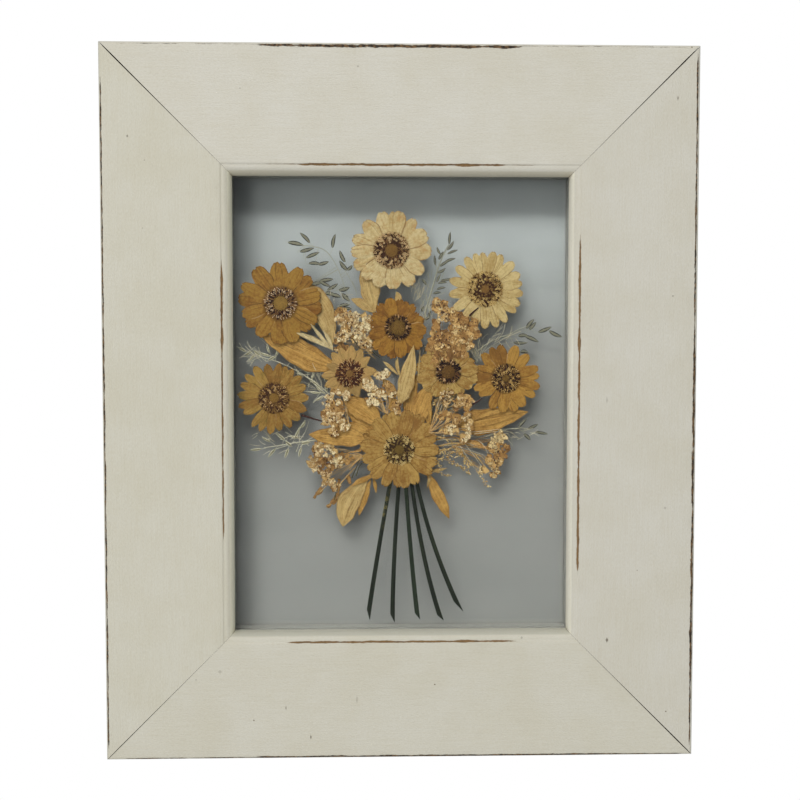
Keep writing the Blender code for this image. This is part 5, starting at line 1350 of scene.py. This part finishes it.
def add_scrap(growth, x, z, height, size, shade, chance):
    """Add a crumpled scrap of petal."""
    out, right = ways(chance.uniform(0, 360))
    phase, half = chance.uniform(0, 6), size * chance.uniform(0.3, 0.55)

    def shape(side, share):
        wavy = 1 + 0.22 * math.sin(9 * share + phase * 2 + side)
        full = math.sin(math.pi * (0.1 + 0.82 * share)) ** 0.7 * wavy
        place = out * (size * (share - 0.5)) + right * (half * full * side)
        place += right * 0.12 * size * math.sin(5 * share + phase)
        place += out * 0.08 * size * math.sin(7 * side + phase)
        return x + place.x, z + place.y, height + 0.13 * math.sin(5 * side + 7 * share + phase)

    growth.blade(*SCRAP_GRID, shape, shade + chance.uniform(-0.7, 1.0), 1)


def scatter(patch, chance, fill=1.0):
    """Return a place in a patch given as (x, z, half length, half width, lean)."""
    x, z, half_length, half_width, lean = patch
    far, angle = math.sqrt(chance.random()) * fill, chance.uniform(0, math.tau)
    out, right = ways(lean)
    place = out * (half_length * far * math.cos(angle)) + right * (half_width * far * math.sin(angle))
    return x + place.x, z + place.y


def make_cluster(name, cluster, finishes, seed):
    """Make a cluster of tiny blossoms, scraps of petal, buds and dark specks on thin stalks."""
    chance, growth = random.Random(seed), Growth()
    floor = layer_floor(cluster["layer"])
    room = CLUSTER_ROOM if cluster["layer"] < FRONT_LAYER else FRONT_CLUSTER_ROOM
    foot, sizes = Vector(cluster["foot"]), cluster.get("sizes", SCRAP_SIZES)
    for patch, florets, radius, shade, scraps, specks in cluster["patches"]:
        for index in range(scraps):
            x, z = scatter(patch, chance, 0.95)
            height = floor + chance.uniform(0.1, room * 0.8)
            add_scrap(growth, x, z, height, chance.uniform(*sizes), shade + 0.3, chance)
        for index in range(florets):
            x, z = scatter(patch, chance)
            height = floor + chance.uniform(0.15, room)
            add_floret(growth, x, z, height, radius * chance.uniform(0.75, 1.2), shade, chance)
            if index % 3 == 0:
                knee = (Vector((x, z)) + foot) / 2 + Vector((chance.uniform(-1, 1), chance.uniform(-1, 1)))
                growth.thread([foot, knee, (x, z)], floor + 0.05, CLUSTER_STALK, 0.9)
        for index in range(specks):
            x, z = scatter(patch, chance, 0.85)
            size, stretch = chance.uniform(0.18, 0.34), chance.uniform(1.0, 1.8)
            growth.bud(x, z, floor + room + 0.1, size, chance.uniform(0, 360), stretch, 0.0, -1.0, 0.0)
    growth.finish(name + "_florets", finishes, cluster["slot"], [name])


# Fresh, aged, outline and heart
BLOSSOM_TONES = {
    "white_blossom": ((244, 228, 182), (208, 172, 114), (132, 92, 52), (92, 58, 38)),
    "tan_blossom": ((238, 214, 158), (196, 152, 86), (118, 80, 42), (76, 44, 42)),
    "tan_scraps": ((222, 188, 124), (180, 138, 76), (118, 80, 42), (164, 124, 66)),
    "orange_scraps": ((226, 188, 120), (178, 134, 74), (108, 72, 38), (166, 122, 64)),
}
SCRAP_FINISH = {"white_blossom": "tan_scraps", "tan_blossom": "orange_scraps"}
SCRAP_SIZES = (1.2, 3.2)
FLORET_PETALS = 7

# A cluster's depth, and that of one on the front layer
FRONT_LAYER, CLUSTER_ROOM, FRONT_CLUSTER_ROOM = 5, 0.75, 0.55

# A patch: its place, then how many blossoms, their radius and shade (0 fresh, 1 aged), how many
# scraps of petal and how many dark specks
BLOSSOMS = {
    "blossom_upper_left": {
        "layer": 2, "foot": (-12.0, 22.0), "slot": "white_blossom",
        "patches": [((-23.1, 35.8, 3.9, 3.4, 30), 17, 1.5, 0.35, 22, 11),
                    ((-17.1, 35.8, 5.2, 3.4, -60), 20, 1.6, 0.0, 11, 6),
                    ((-24.4, 29.4, 3.4, 3.0, 40), 14, 1.5, 0.15, 14, 6),
                    ((-17.5, 29.9, 3.9, 3.4, 50), 17, 1.7, -0.1, 8, 4),
                    ((-26.1, 25.1, 3.0, 3.4, 10), 4, 1.4, 0.5, 14, 1),
                    ((-14.1, 26.4, 2.1, 3.9, 0), 7, 1.4, 0.1, 11, 4),
                    ((-25.6, 39.7, 1.7, 1.7, 0), 0, 1.4, 0.6, 11, 1)]},
    "blossom_upper_right": {
        "layer": 4, "foot": (16.0, 22.0), "slot": "tan_blossom", "sizes": (1.2, 4.4),
        "patches": [((16.8, 41.4, 3.0, 3.0, 0), 9, 1.2, 0.1, 12, 12),
                    ((20.3, 38.4, 3.0, 3.0, 0), 9, 1.2, 0.1, 16, 12),
                    ((25.0, 35.5, 3.6, 4.2, 90), 6, 1.2, 0.3, 26, 6),
                    ((29.7, 33.9, 3.4, 3.2, 0), 3, 1.2, 0.5, 18, 3),
                    ((15.5, 31.2, 4.6, 2.6, 0), 3, 1.2, 0.5, 18, 4),
                    ((17.3, 27.3, 3.4, 3.0, 0), 4, 1.2, 0.2, 16, 14),
                    ((22.0, 28.6, 5.4, 4.6, 80), 5, 1.3, 0.4, 38, 6),
                    ((25.4, 29.5, 4.0, 3.0, 0), 7, 1.2, 0.0, 14, 2),
                    ((28.0, 26.9, 3.4, 3.4, 0), 5, 1.2, 0.0, 12, 1),
                    ((19.4, 22.6, 3.6, 5.6, 0), 4, 1.2, 0.5, 26, 4),
                    ((25.0, 22.2, 3.0, 3.2, 0), 2, 1.2, 0.5, 18, 2),
                    ((13.8, 25.6, 4.0, 2.6, 0), 1, 1.2, 0.6, 18, 3),
                    ((15.1, 20.9, 3.4, 2.6, 0), 1, 1.2, 0.6, 12, 2),
                    ((31.0, 30.0, 1.8, 3.4, 0), 1, 1.2, 0.4, 10, 1)]},
    "blossom_middle": {
        "layer": 5, "foot": (-6.0, -4.0), "slot": "white_blossom",
        "patches": [((-8.1, 13.6, 2.6, 2.6, 0), 10, 1.6, -0.2, 6, 3),
                    ((-14.5, 8.8, 2.6, 3.0, 0), 10, 1.6, 0.1, 7, 2),
                    ((-9.8, 5.0, 3.0, 3.4, 90), 8, 1.5, 0.0, 8, 3),
                    ((-12.4, 0.7, 2.6, 1.7, -40), 7, 1.3, -0.4, 3, 1),
                    ((-3.4, 4.5, 1.7, 1.3, 90), 4, 1.2, -0.1, 6, 2),
                    ((-5.1, 8.4, 3.4, 2.1, -40), 0, 1.2, 0.5, 14, 2),
                    ((-1.6, -1.1, 2.1, 3.0, 90), 4, 1.0, 0.4, 14, 7)]},
    "blossom_left": {
        "layer": 5, "foot": (-22.0, -10.0), "slot": "white_blossom",
        "patches": [((-27.0, 3.7, 2.1, 4.7, 0), 13, 1.4, 0.1, 8, 2),
                    ((-29.2, -1.0, 3.9, 4.7, 0), 11, 1.3, 0.4, 25, 11),
                    ((-27.9, -6.6, 3.0, 4.7, 0), 10, 1.3, 0.4, 19, 8),
                    ((-31.6, -5.2, 4.4, 2.2, 0), 11, 1.3, 0.3, 16, 4),
                    ((-24.0, -9.2, 2.1, 1.7, 60), 6, 1.2, -0.4, 3, 1),
                    ((-28.8, -11.6, 2.4, 1.8, 0), 5, 1.1, 0.2, 10, 2)]},
    "blossom_lower_left": {
        "layer": 2, "foot": (-16.0, -22.0), "slot": "white_blossom",
        "patches": [((-36.1, -19.1, 3.0, 2.6, 0), 8, 1.4, 0.3, 11, 2),
                    ((-37.4, -25.6, 3.9, 2.1, 0), 10, 1.4, 0.2, 10, 1),
                    ((-32.2, -26.5, 5.2, 3.4, 0), 6, 1.2, 0.8, 22, 15),
                    ((-30.1, -19.6, 3.4, 2.6, 60), 8, 1.2, -0.1, 7, 2),
                    ((-27.9, -24.8, 3.0, 2.6, 0), 10, 1.3, -0.3, 6, 3),
                    ((-32.3, -32.1, 2.6, 3.4, 90), 7, 1.3, 0.3, 10, 4),
                    ((-28.4, -33.9, 2.1, 3.0, 90), 6, 1.2, 0.3, 10, 2),
                    ((-24.5, -23.1, 2.1, 4.3, 0), 0, 1.2, 0.5, 14, 0)]},
    "blossom_right": {
        "layer": 5, "foot": (12.0, -12.0), "slot": "white_blossom",
        "patches": [((19.5, 3.6, 4.6, 3.0, 0), 30, 0.75, 0.4, 8, 12),
                    ((25.1, 0.6, 2.6, 3.0, -40), 7, 1.2, 0.5, 14, 4),
                    ((28.1, -4.1, 3.4, 1.5, 0), 6, 1.2, 0.4, 10, 3),
                    ((29.0, -9.8, 3.6, 1.5, 0), 8, 1.3, 0.1, 8, 3),
                    ((27.3, -14.9, 2.1, 1.5, 0), 4, 1.2, 0.2, 6, 1),
                    ((22.1, -10.2, 2.1, 1.7, 90), 6, 1.4, -0.1, 6, 1),
                    ((18.6, -5.4, 1.7, 3.4, 0), 0, 1.2, 0.5, 15, 0),
                    ((20.4, -10.2, 2.0, 4.2, 0), 2, 1.2, 0.3, 12, 2),
                    ((26.4, 1.9, 3.4, 2.0, 20), 0, 1.2, 0.4, 10, 0),
                    ((23.4, -7.2, 3.0, 2.1, 40), 1, 1.2, 0.5, 14, 2),
                    ((29.0, 1.5, 2.2, 2.4, 0), 1, 1.1, 0.5, 10, 2)]},
    "blossom_lower_right": {
        "layer": 2, "foot": (22.0, -18.0), "slot": "tan_blossom",
        "patches": [((42.9, -14.1, 2.6, 2.1, 0), 10, 1.4, -0.5, 4, 1),
                    ((40.3, -17.6, 2.6, 2.1, 0), 8, 1.4, -0.4, 6, 2),
                    ((45.1, -20.2, 2.6, 2.1, 0), 0, 1.4, 0.5, 14, 1),
                    ((40.8, -23.6, 4.7, 3.0, 20), 7, 1.1, 0.1, 25, 13),
                    ((40.3, -29.3, 1.7, 3.0, 90), 8, 1.1, 0.0, 7, 3),
                    ((34.7, -28.4, 1.7, 1.7, 0), 4, 0.9, -0.5, 3, 1)]},
}


def make_blossoms():
    """Make the seven clusters."""
    finishes = {name: blossom_finish(name, *tones) for name, tones in BLOSSOM_TONES.items()}
    for seed, (name, cluster) in enumerate(BLOSSOMS.items()):
        slot = cluster["slot"]
        pair = [finishes[slot], finishes[SCRAP_FINISH[slot]]]
        make_cluster(name, cluster, pair, CLUSTER_SEED + seed)


# ---------------------------------------------------------------- ribbons, stalks, husks, sprays and hairs

FEATHER_LAYER, SPRAY_LAYER = 2.4, 2.2
HUSK_BLADES, HUSK_FAN = 3, 16

# Fresh, aged, outline and heart
WISP_TONES = {
    "ribbon": ((215, 175, 106), (177, 130, 66), (136, 90, 48), (189, 142, 77)),
    "straw_thread": ((222, 198, 140), (190, 154, 94), (160, 122, 70), (172, 138, 81)),
    "wine_stem": ((84, 48, 40), (56, 28, 26), (48, 24, 22), (60, 32, 28)),
    "moss_thread": ((100, 96, 64), (70, 68, 44), (60, 56, 38), (70, 66, 44)),
    "brown_husk": ((196, 156, 92), (150, 108, 56), (96, 64, 34), (110, 76, 44)),
    "pale_hair": ((232, 226, 200), (204, 196, 164), (176, 164, 128), (150, 140, 108)),
}

# The stalks' pieces: name, finish and the number that their rows end with
STALKS = (("wine_stems", "wine_stem", 2), ("straw_stalks", "straw_thread", 1),
          ("moss_stalks", "moss_thread", 3))

# Ribbons as points, half width, layer and finish
RIBBONS = [
    ([(14.3, -15.4), (22.1, -14.1), (28.2, -15.8), (38.1, -19.3)], 0.75, 1.6, 0),
    ([(15.2, -18.0), (23.8, -16.7), (30.8, -18.0), (39.4, -21.0)], 0.4, 1.8, 1),
    ([(28.2, -14.1), (31.2, -16.3), (35.5, -18.4)], 1.3, 1.5, 0),
    ([(16.9, -11.5), (19.5, -8.4), (22.1, -8.0), (24.7, -9.8)], 0.4, 1.9, 1),
    ([(-28.4, -22.2), (-23.2, -20.9), (-17.2, -19.6)], 0.75, 1.7, 0),
    ([(-27.5, -23.9), (-21.9, -22.6), (-17.6, -21.8)], 0.35, 1.9, 1),
    ([(14.3, -20.6), (19.5, -19.3), (24.7, -18.4)], 0.35, 1.8, 1),
    ([(24.3, -7.2), (23.4, -10.2), (24.7, -13.6)], 0.4, 1.9, 1),
]

# Thin stalks: points, radius, layer and finish
THREADS = [
    ([(-42.5, -4.5), (-38.2, -5.8), (-33.9, -7.1)], 0.5, 2.6, 2),
    ([(29.4, -1.1), (32.0, 0.6), (35.0, 2.8)], 0.36, 2.6, 2),
    ([(29.3, 38.0), (31.0, 39.7), (33.2, 41.5)], 0.42, 3.4, 2),
    ([(25.6, -19.3), (28.2, -23.6), (33.4, -27.5)], 0.26, 1.8, 1),
    ([(32.1, -21.5), (34.7, -24.9), (38.2, -28.9)], 0.26, 1.8, 1),
    ([(29.9, -20.6), (34.3, -22.3), (38.2, -25.8)], 0.22, 1.8, 1),
    ([(-21.1, -31.7), (-19.3, -27.4), (-17.6, -23.5)], 0.24, 1.8, 3),
    ([(-19.3, -30.9), (-18.0, -27.0), (-16.7, -25.2)], 0.24, 1.8, 3),
    ([(-22.3, -28.3), (-20.2, -25.7), (-17.2, -23.1)], 0.2, 1.8, 1),
    ([(-27.1, -35.6), (-23.6, -31.3), (-20.2, -27.4)], 0.26, 1.8, 1),
    ([(-28.8, -41.2), (-27.5, -36.5), (-26.2, -33.4)], 0.26, 1.8, 3),
    ([(-34.9, -37.8), (-32.3, -35.2), (-29.7, -33.4)], 0.2, 1.8, 1),
    ([(13.0, 2.4), (13.9, -2.4), (13.0, -8.4)], 0.2, 2.2, 3),
    ([(14.3, 2.4), (15.2, -2.4), (13.9, -9.3)], 0.2, 2.2, 1),
    ([(16.0, 0.2), (14.7, -4.1), (12.6, -10.2)], 0.2, 2.2, 1),
    ([(17.8, -3.7), (20.3, -1.5), (23.4, 0.2)], 0.24, 2.4, 1),
    ([(18.6, -5.4), (21.2, -2.8), (24.7, -1.1)], 0.2, 2.4, 1),
    ([(-20.9, 28.6), (-19.2, 26.4), (-17.5, 23.9)], 0.22, 2.2, 3),
    ([(-19.2, 29.0), (-17.5, 26.4), (-15.8, 24.7)], 0.2, 2.2, 1),
    ([(-14.5, 23.4), (-12.8, 21.3), (-10.7, 19.6)], 0.24, 2.2, 1),
    ([(-13.2, 23.9), (-11.1, 21.7), (-8.9, 20.0)], 0.2, 2.2, 3),
    ([(10.4, 24.7), (10.0, 20.0), (8.7, 14.0)], 0.24, 2.0, 3),
    ([(11.7, 25.6), (11.3, 22.6), (10.4, 19.1)], 0.2, 2.0, 1),
    ([(8.2, 27.3), (10.4, 24.7), (12.1, 27.3)], 0.2, 2.0, 3),
]

# Brown husks: place, half length, half width and lean
HUSKS = [
    (-22.4, -32.2, 2.1, 0.9, -20), (-34.9, -37.3, 2.1, 1.0, 40), (-28.8, -41.2, 2.1, 1.1, 30),
    (-36.6, -39.5, 1.3, 0.6, 30), (-26.7, -36.0, 1.7, 0.9, 20), (-31.0, -43.4, 1.3, 0.8, 50),
    (-27.1, -38.6, 1.3, 0.7, 20),
]

# Single pale hairs, as points
HAIRS = [
    [(51.7, 31.6), (44.9, 28.6), (38.4, 24.7), (33.7, 20.9)], [(44.8, 34.6), (44.0, 31.2), (41.8, 27.7)],
    [(47.8, 33.8), (47.0, 30.3), (45.3, 27.7)], [(32.8, 32.0), (33.6, 28.6), (34.5, 25.2)],
    [(31.1, 24.7), (32.4, 21.7), (33.2, 18.3)], [(31.9, 24.3), (33.7, 21.3), (34.5, 18.3)],
    [(29.8, 23.4), (31.5, 20.9), (32.8, 18.7)], [(35.4, 26.0), (34.5, 22.6), (34.1, 19.1)],
    [(38.4, 28.6), (37.1, 25.6), (35.0, 22.6)], [(44.9, 27.3), (46.6, 24.7), (48.3, 22.6)],
    [(41.8, 27.3), (43.6, 25.2), (44.9, 23.0)], [(49.2, 28.6), (50.5, 26.9), (51.3, 25.2)],
    [(16.9, 3.2), (15.2, -1.5), (13.9, -7.6)], [(17.8, 2.8), (16.0, -2.4), (14.8, -8.4)],
    [(18.6, 2.4), (16.9, -2.8), (15.2, -8.9)], [(16.0, 3.6), (13.9, -0.7), (12.6, -5.0)],
    [(23.4, -5.0), (19.9, -2.4), (16.5, -1.1)], [(24.2, -4.1), (20.8, -1.1), (17.8, 1.1)],
    [(23.8, -5.9), (19.5, -4.1), (15.6, -3.3)], [(24.7, -3.3), (22.1, 0.2), (19.9, 2.8)],
    [(22.5, -6.7), (18.6, -5.9), (15.2, -5.8)], [(25.1, -2.0), (23.8, 1.5), (22.1, 4.1)],
    [(16.0, -10.2), (22.1, -8.4), (28.1, -6.7)], [(16.1, -11.9), (23.0, -10.2), (29.9, -10.6)],
    [(16.9, -13.6), (23.8, -12.8), (32.5, -14.1)], [(16.1, -15.4), (23.4, -15.4), (33.4, -18.0)],
    [(15.6, -18.0), (23.8, -18.0), (36.0, -21.9)], [(15.6, -19.7), (22.1, -19.3), (29.9, -20.6)],
    [(25.6, -18.0), (28.2, -21.9), (31.7, -27.5)], [(27.7, -17.1), (31.7, -22.3), (36.0, -28.4)],
    [(29.9, -11.9), (35.9, -11.5), (42.9, -10.6)], [(31.6, -12.8), (39.4, -11.9), (46.3, -11.5)],
    [(36.8, -13.7), (41.1, -12.8), (45.5, -13.7)], [(42.9, -12.8), (46.4, -15.4), (48.5, -18.0)],
    [(33.4, -15.4), (36.0, -18.0), (37.7, -21.5)], [(42.0, -11.1), (47.2, -12.0), (50.7, -14.6)],
]

# Tufts of short pale hairs: patch, number, heading, spread and length
TUFTS = [
    ((9.9, 44.9, 5.0, 5.0, 0), 26, 20, 36, 4.2), ((12.5, 37.2, 4.4, 2.6, 0), 16, 25, 44, 3.6),
    ((4.8, 49.1, 2.0, 2.6, 0), 8, 10, 40, 3.8), ((8.2, 32.9, 3.0, 2.0, 0), 8, 20, 40, 3.6),
    ((-62.4, 22.6, 4.0, 8.0, 0), 10, -70, 50, 3.8), ((-36.4, 9.6, 5.6, 4.0, 0), 20, -40, 60, 3.6),
    ((-54.0, -15.2, 5.0, 11.0, 0), 18, -80, 50, 4.0), ((49.8, -12.8, 3.4, 7.6, 0), 16, 90, 44, 3.8),
    ((40.1, 29.5, 3.4, 7.0, 0), 12, 60, 40, 3.8), ((-26.0, 44.8, 3.0, 5.0, 0), 8, 30, 60, 3.4),
    ((32.4, 20.9, 3.6, 2.0, 0), 12, -8, 22, 4.0),
]

# Feathery stalks set with yellow grains: points, number of grains and how far they stand off
FEATHERS = [
    ([(15.6, -19.7), (23.4, -20.6), (29.9, -24.9), (35.2, -31.9), (37.8, -35.8)], 46, 1.0),
    ([(16.1, -23.2), (21.3, -24.5), (26.5, -27.5), (29.9, -30.6)], 30, 0.9),
    ([(22.1, -17.1), (26.5, -21.4), (29.1, -26.7)], 26, 0.9),
    ([(14.3, -21.4), (15.6, -24.5), (17.4, -27.9)], 14, 0.7),
    ([(16.0, 5.8), (19.5, 3.6), (23.4, 1.5)], 40, 1.5), ([(17.3, 2.4), (21.2, 4.5), (24.7, 3.6)], 26, 1.1),
    ([(11.7, -3.3), (14.3, 0.2), (16.9, 3.6)], 16, 0.7),
    ([(15.6, -13.6), (20.4, -15.4), (26.4, -15.8)], 18, 0.8),
    ([(15.2, -28.4), (18.2, -30.1), (21.3, -31.0)], 12, 0.6),
    ([(-1.2, 8.8), (0.1, 5.4), (1.4, 1.1)], 14, 0.8),
]

# Fuzzy yellow sprays, as patches and the number of grains
SPRAYS = [
    ((20.0, -22.3, 5.6, 2.1, 80), 24), ((29.9, -26.7, 4.7, 3.4, -45), 20), ((19.5, 3.2, 3.4, 3.0, 0), 60),
    ((16.9, -3.7, 2.1, 2.1, 0), 24), ((-2.9, -0.2, 2.6, 2.6, 90), 34), ((18.2, -19.3, 3.4, 2.1, 80), 14),
]


def make_ribbons(looks, chance):
    """Make the ribbons beside the big flower."""
    growth = Growth()
    for points, half_width, layer, finish in RIBBONS:
        path, phase = run_through(points), chance.uniform(0, 6)

        def shape(side, share):
            where, heading = path(share)
            across = half_width * side * (0.6 + 0.4 * math.sin(6 * share + phase))
            place = where + Vector((heading.y, -heading.x)) * across
            wave = 0.08 * math.sin(11 * share + 3 * side + phase)
            return place.x, place.y, layer_floor(layer) + STALK_LIFT + wave

        growth.blade(*RIBBON_GRID, shape, chance.uniform(0.2, 0.8), finish)
    growth.finish("ribbons", [looks["ribbon"], looks["straw_thread"]], "golden_leaf", thickness=0.08)


def make_stalks(looks, chance):
    """Make the thin stalks, those of each finish as one piece."""
    for name, finish, number in STALKS:
        growth = Growth()
        for points, radius, layer, kind in THREADS:
            if kind == number:
                height = layer_floor(layer) + STALK_LIFT
                growth.thread(points, height, radius, chance.uniform(0.2, 0.8), rows=14)
        growth.finish(name, [looks[finish]], "dry_grass")


def make_husks(looks, chance):
    """Make the brown husks at the lower left, three blades each."""
    growth = Growth()
    for x, z, half_length, half_width, lean in HUSKS:
        for layer in range(HUSK_BLADES):
            out, right = ways(lean + chance.uniform(-HUSK_FAN, HUSK_FAN))
            place = Vector((x, z)) + right * chance.uniform(-0.3, 0.3)
            height = layer_floor(2) + 0.1 * layer
            add_spikelet(growth, *place, half_length * 2, lean + (layer - 1) * HUSK_FAN, height,
                         half_width * 0.8, chance)
    growth.finish("brown_husks", [looks["brown_husk"]], "golden_leaf")


def make_sprays(looks, chance):
    """Make the feathery stalks and the fuzzy sprays."""
    growth = Growth()
    for points, grains, off in FEATHERS:
        path = run_through(points)
        growth.thread(points, layer_floor(FEATHER_LAYER), FEATHER_STALK, 0.6, rows=10)
        for index in range(grains):
            where, heading = path(chance.random())
            aside = Vector((heading.y, -heading.x)) * (off * chance.uniform(-1, 1))
            x, z = where + aside + heading * 0.6
            size, turn = chance.uniform(0.18, 0.34), math.degrees(math.atan2(heading.x, heading.y))
            height = layer_floor(FEATHER_LAYER) + chance.uniform(0.0, 0.5)
            growth.bud(x, z, height, size, turn + chance.uniform(-50, 50), chance.uniform(1.2, 2.4), 0.0,
                       chance.choice((0.7, 0.7, 0.7, -0.5)), chance.uniform(-0.6, 1.0))
            growth.thread([where, (x, z)], height - 0.05, GRAIN_STALK, 0.7, rows=2)
    for patch, grains in SPRAYS:
        for index in range(grains):
            x, z = scatter(patch, chance)
            out, right = ways(chance.uniform(0, 360))
            height, size = layer_floor(SPRAY_LAYER) + chance.uniform(0.1, 0.7), chance.uniform(0.2, 0.42)
            growth.bud(x, z, height, size, chance.uniform(0, 360), chance.uniform(1, 2), 0.0, 0.7,
                       chance.uniform(-0.2, 1.0))
            if index % 3 == 0:
                foot = Vector((x, z)) + out * chance.uniform(1.5, 3.0)
                growth.thread([foot, (x, z)], height - 0.1, 0.1, chance.uniform(0.3, 0.9), rows=3)
    growth.finish("yellow_sprays", [looks["straw_thread"]], "golden_leaf")


def make_hairs(looks, chance):
    """Make the pale hairs, singly and in tufts."""
    growth = Growth()
    for points in HAIRS:
        height = layer_floor(2) + chance.uniform(0.0, 0.6)
        growth.thread(points, height, LONG_HAIR, chance.uniform(0.0, 0.9), rows=8)
    for patch, hairs, heading, spread, length in TUFTS:
        for index in range(hairs):
            foot = Vector(scatter(patch, chance))
            out, right = ways(heading + chance.uniform(-spread, spread))
            far = length * chance.uniform(0.5, 1.2)
            knee = foot + out * far * 0.5 + right * chance.uniform(-0.4, 0.4)
            height = layer_floor(0) + chance.uniform(0.2, 0.9)
            tip = foot + out * far
            growth.thread([foot, knee, tip], height, TUFT_HAIR, chance.uniform(-0.2, 1.0), rows=3)
    growth.finish("pale_hairs", [looks["pale_hair"]], "pale_grass")


def make_wisps():
    """Make all the loose pieces too fine to be solids, from one run of chance."""
    chance = random.Random(WISP_SEED)
    looks = {name: blossom_finish(name, *tones) for name, tones in WISP_TONES.items()}
    for make in (make_ribbons, make_stalks, make_husks, make_sprays, make_hairs):
        make(looks, chance)


def main():
    """Dress the frame, what it holds and the bouquet, then light it."""
    for step in (set_camera, set_light, lay_floor, dress_frame, dress_fittings, make_heads, make_leaves,
                 make_stems, make_sprigs, make_blossoms, make_wisps):
        step()


main()
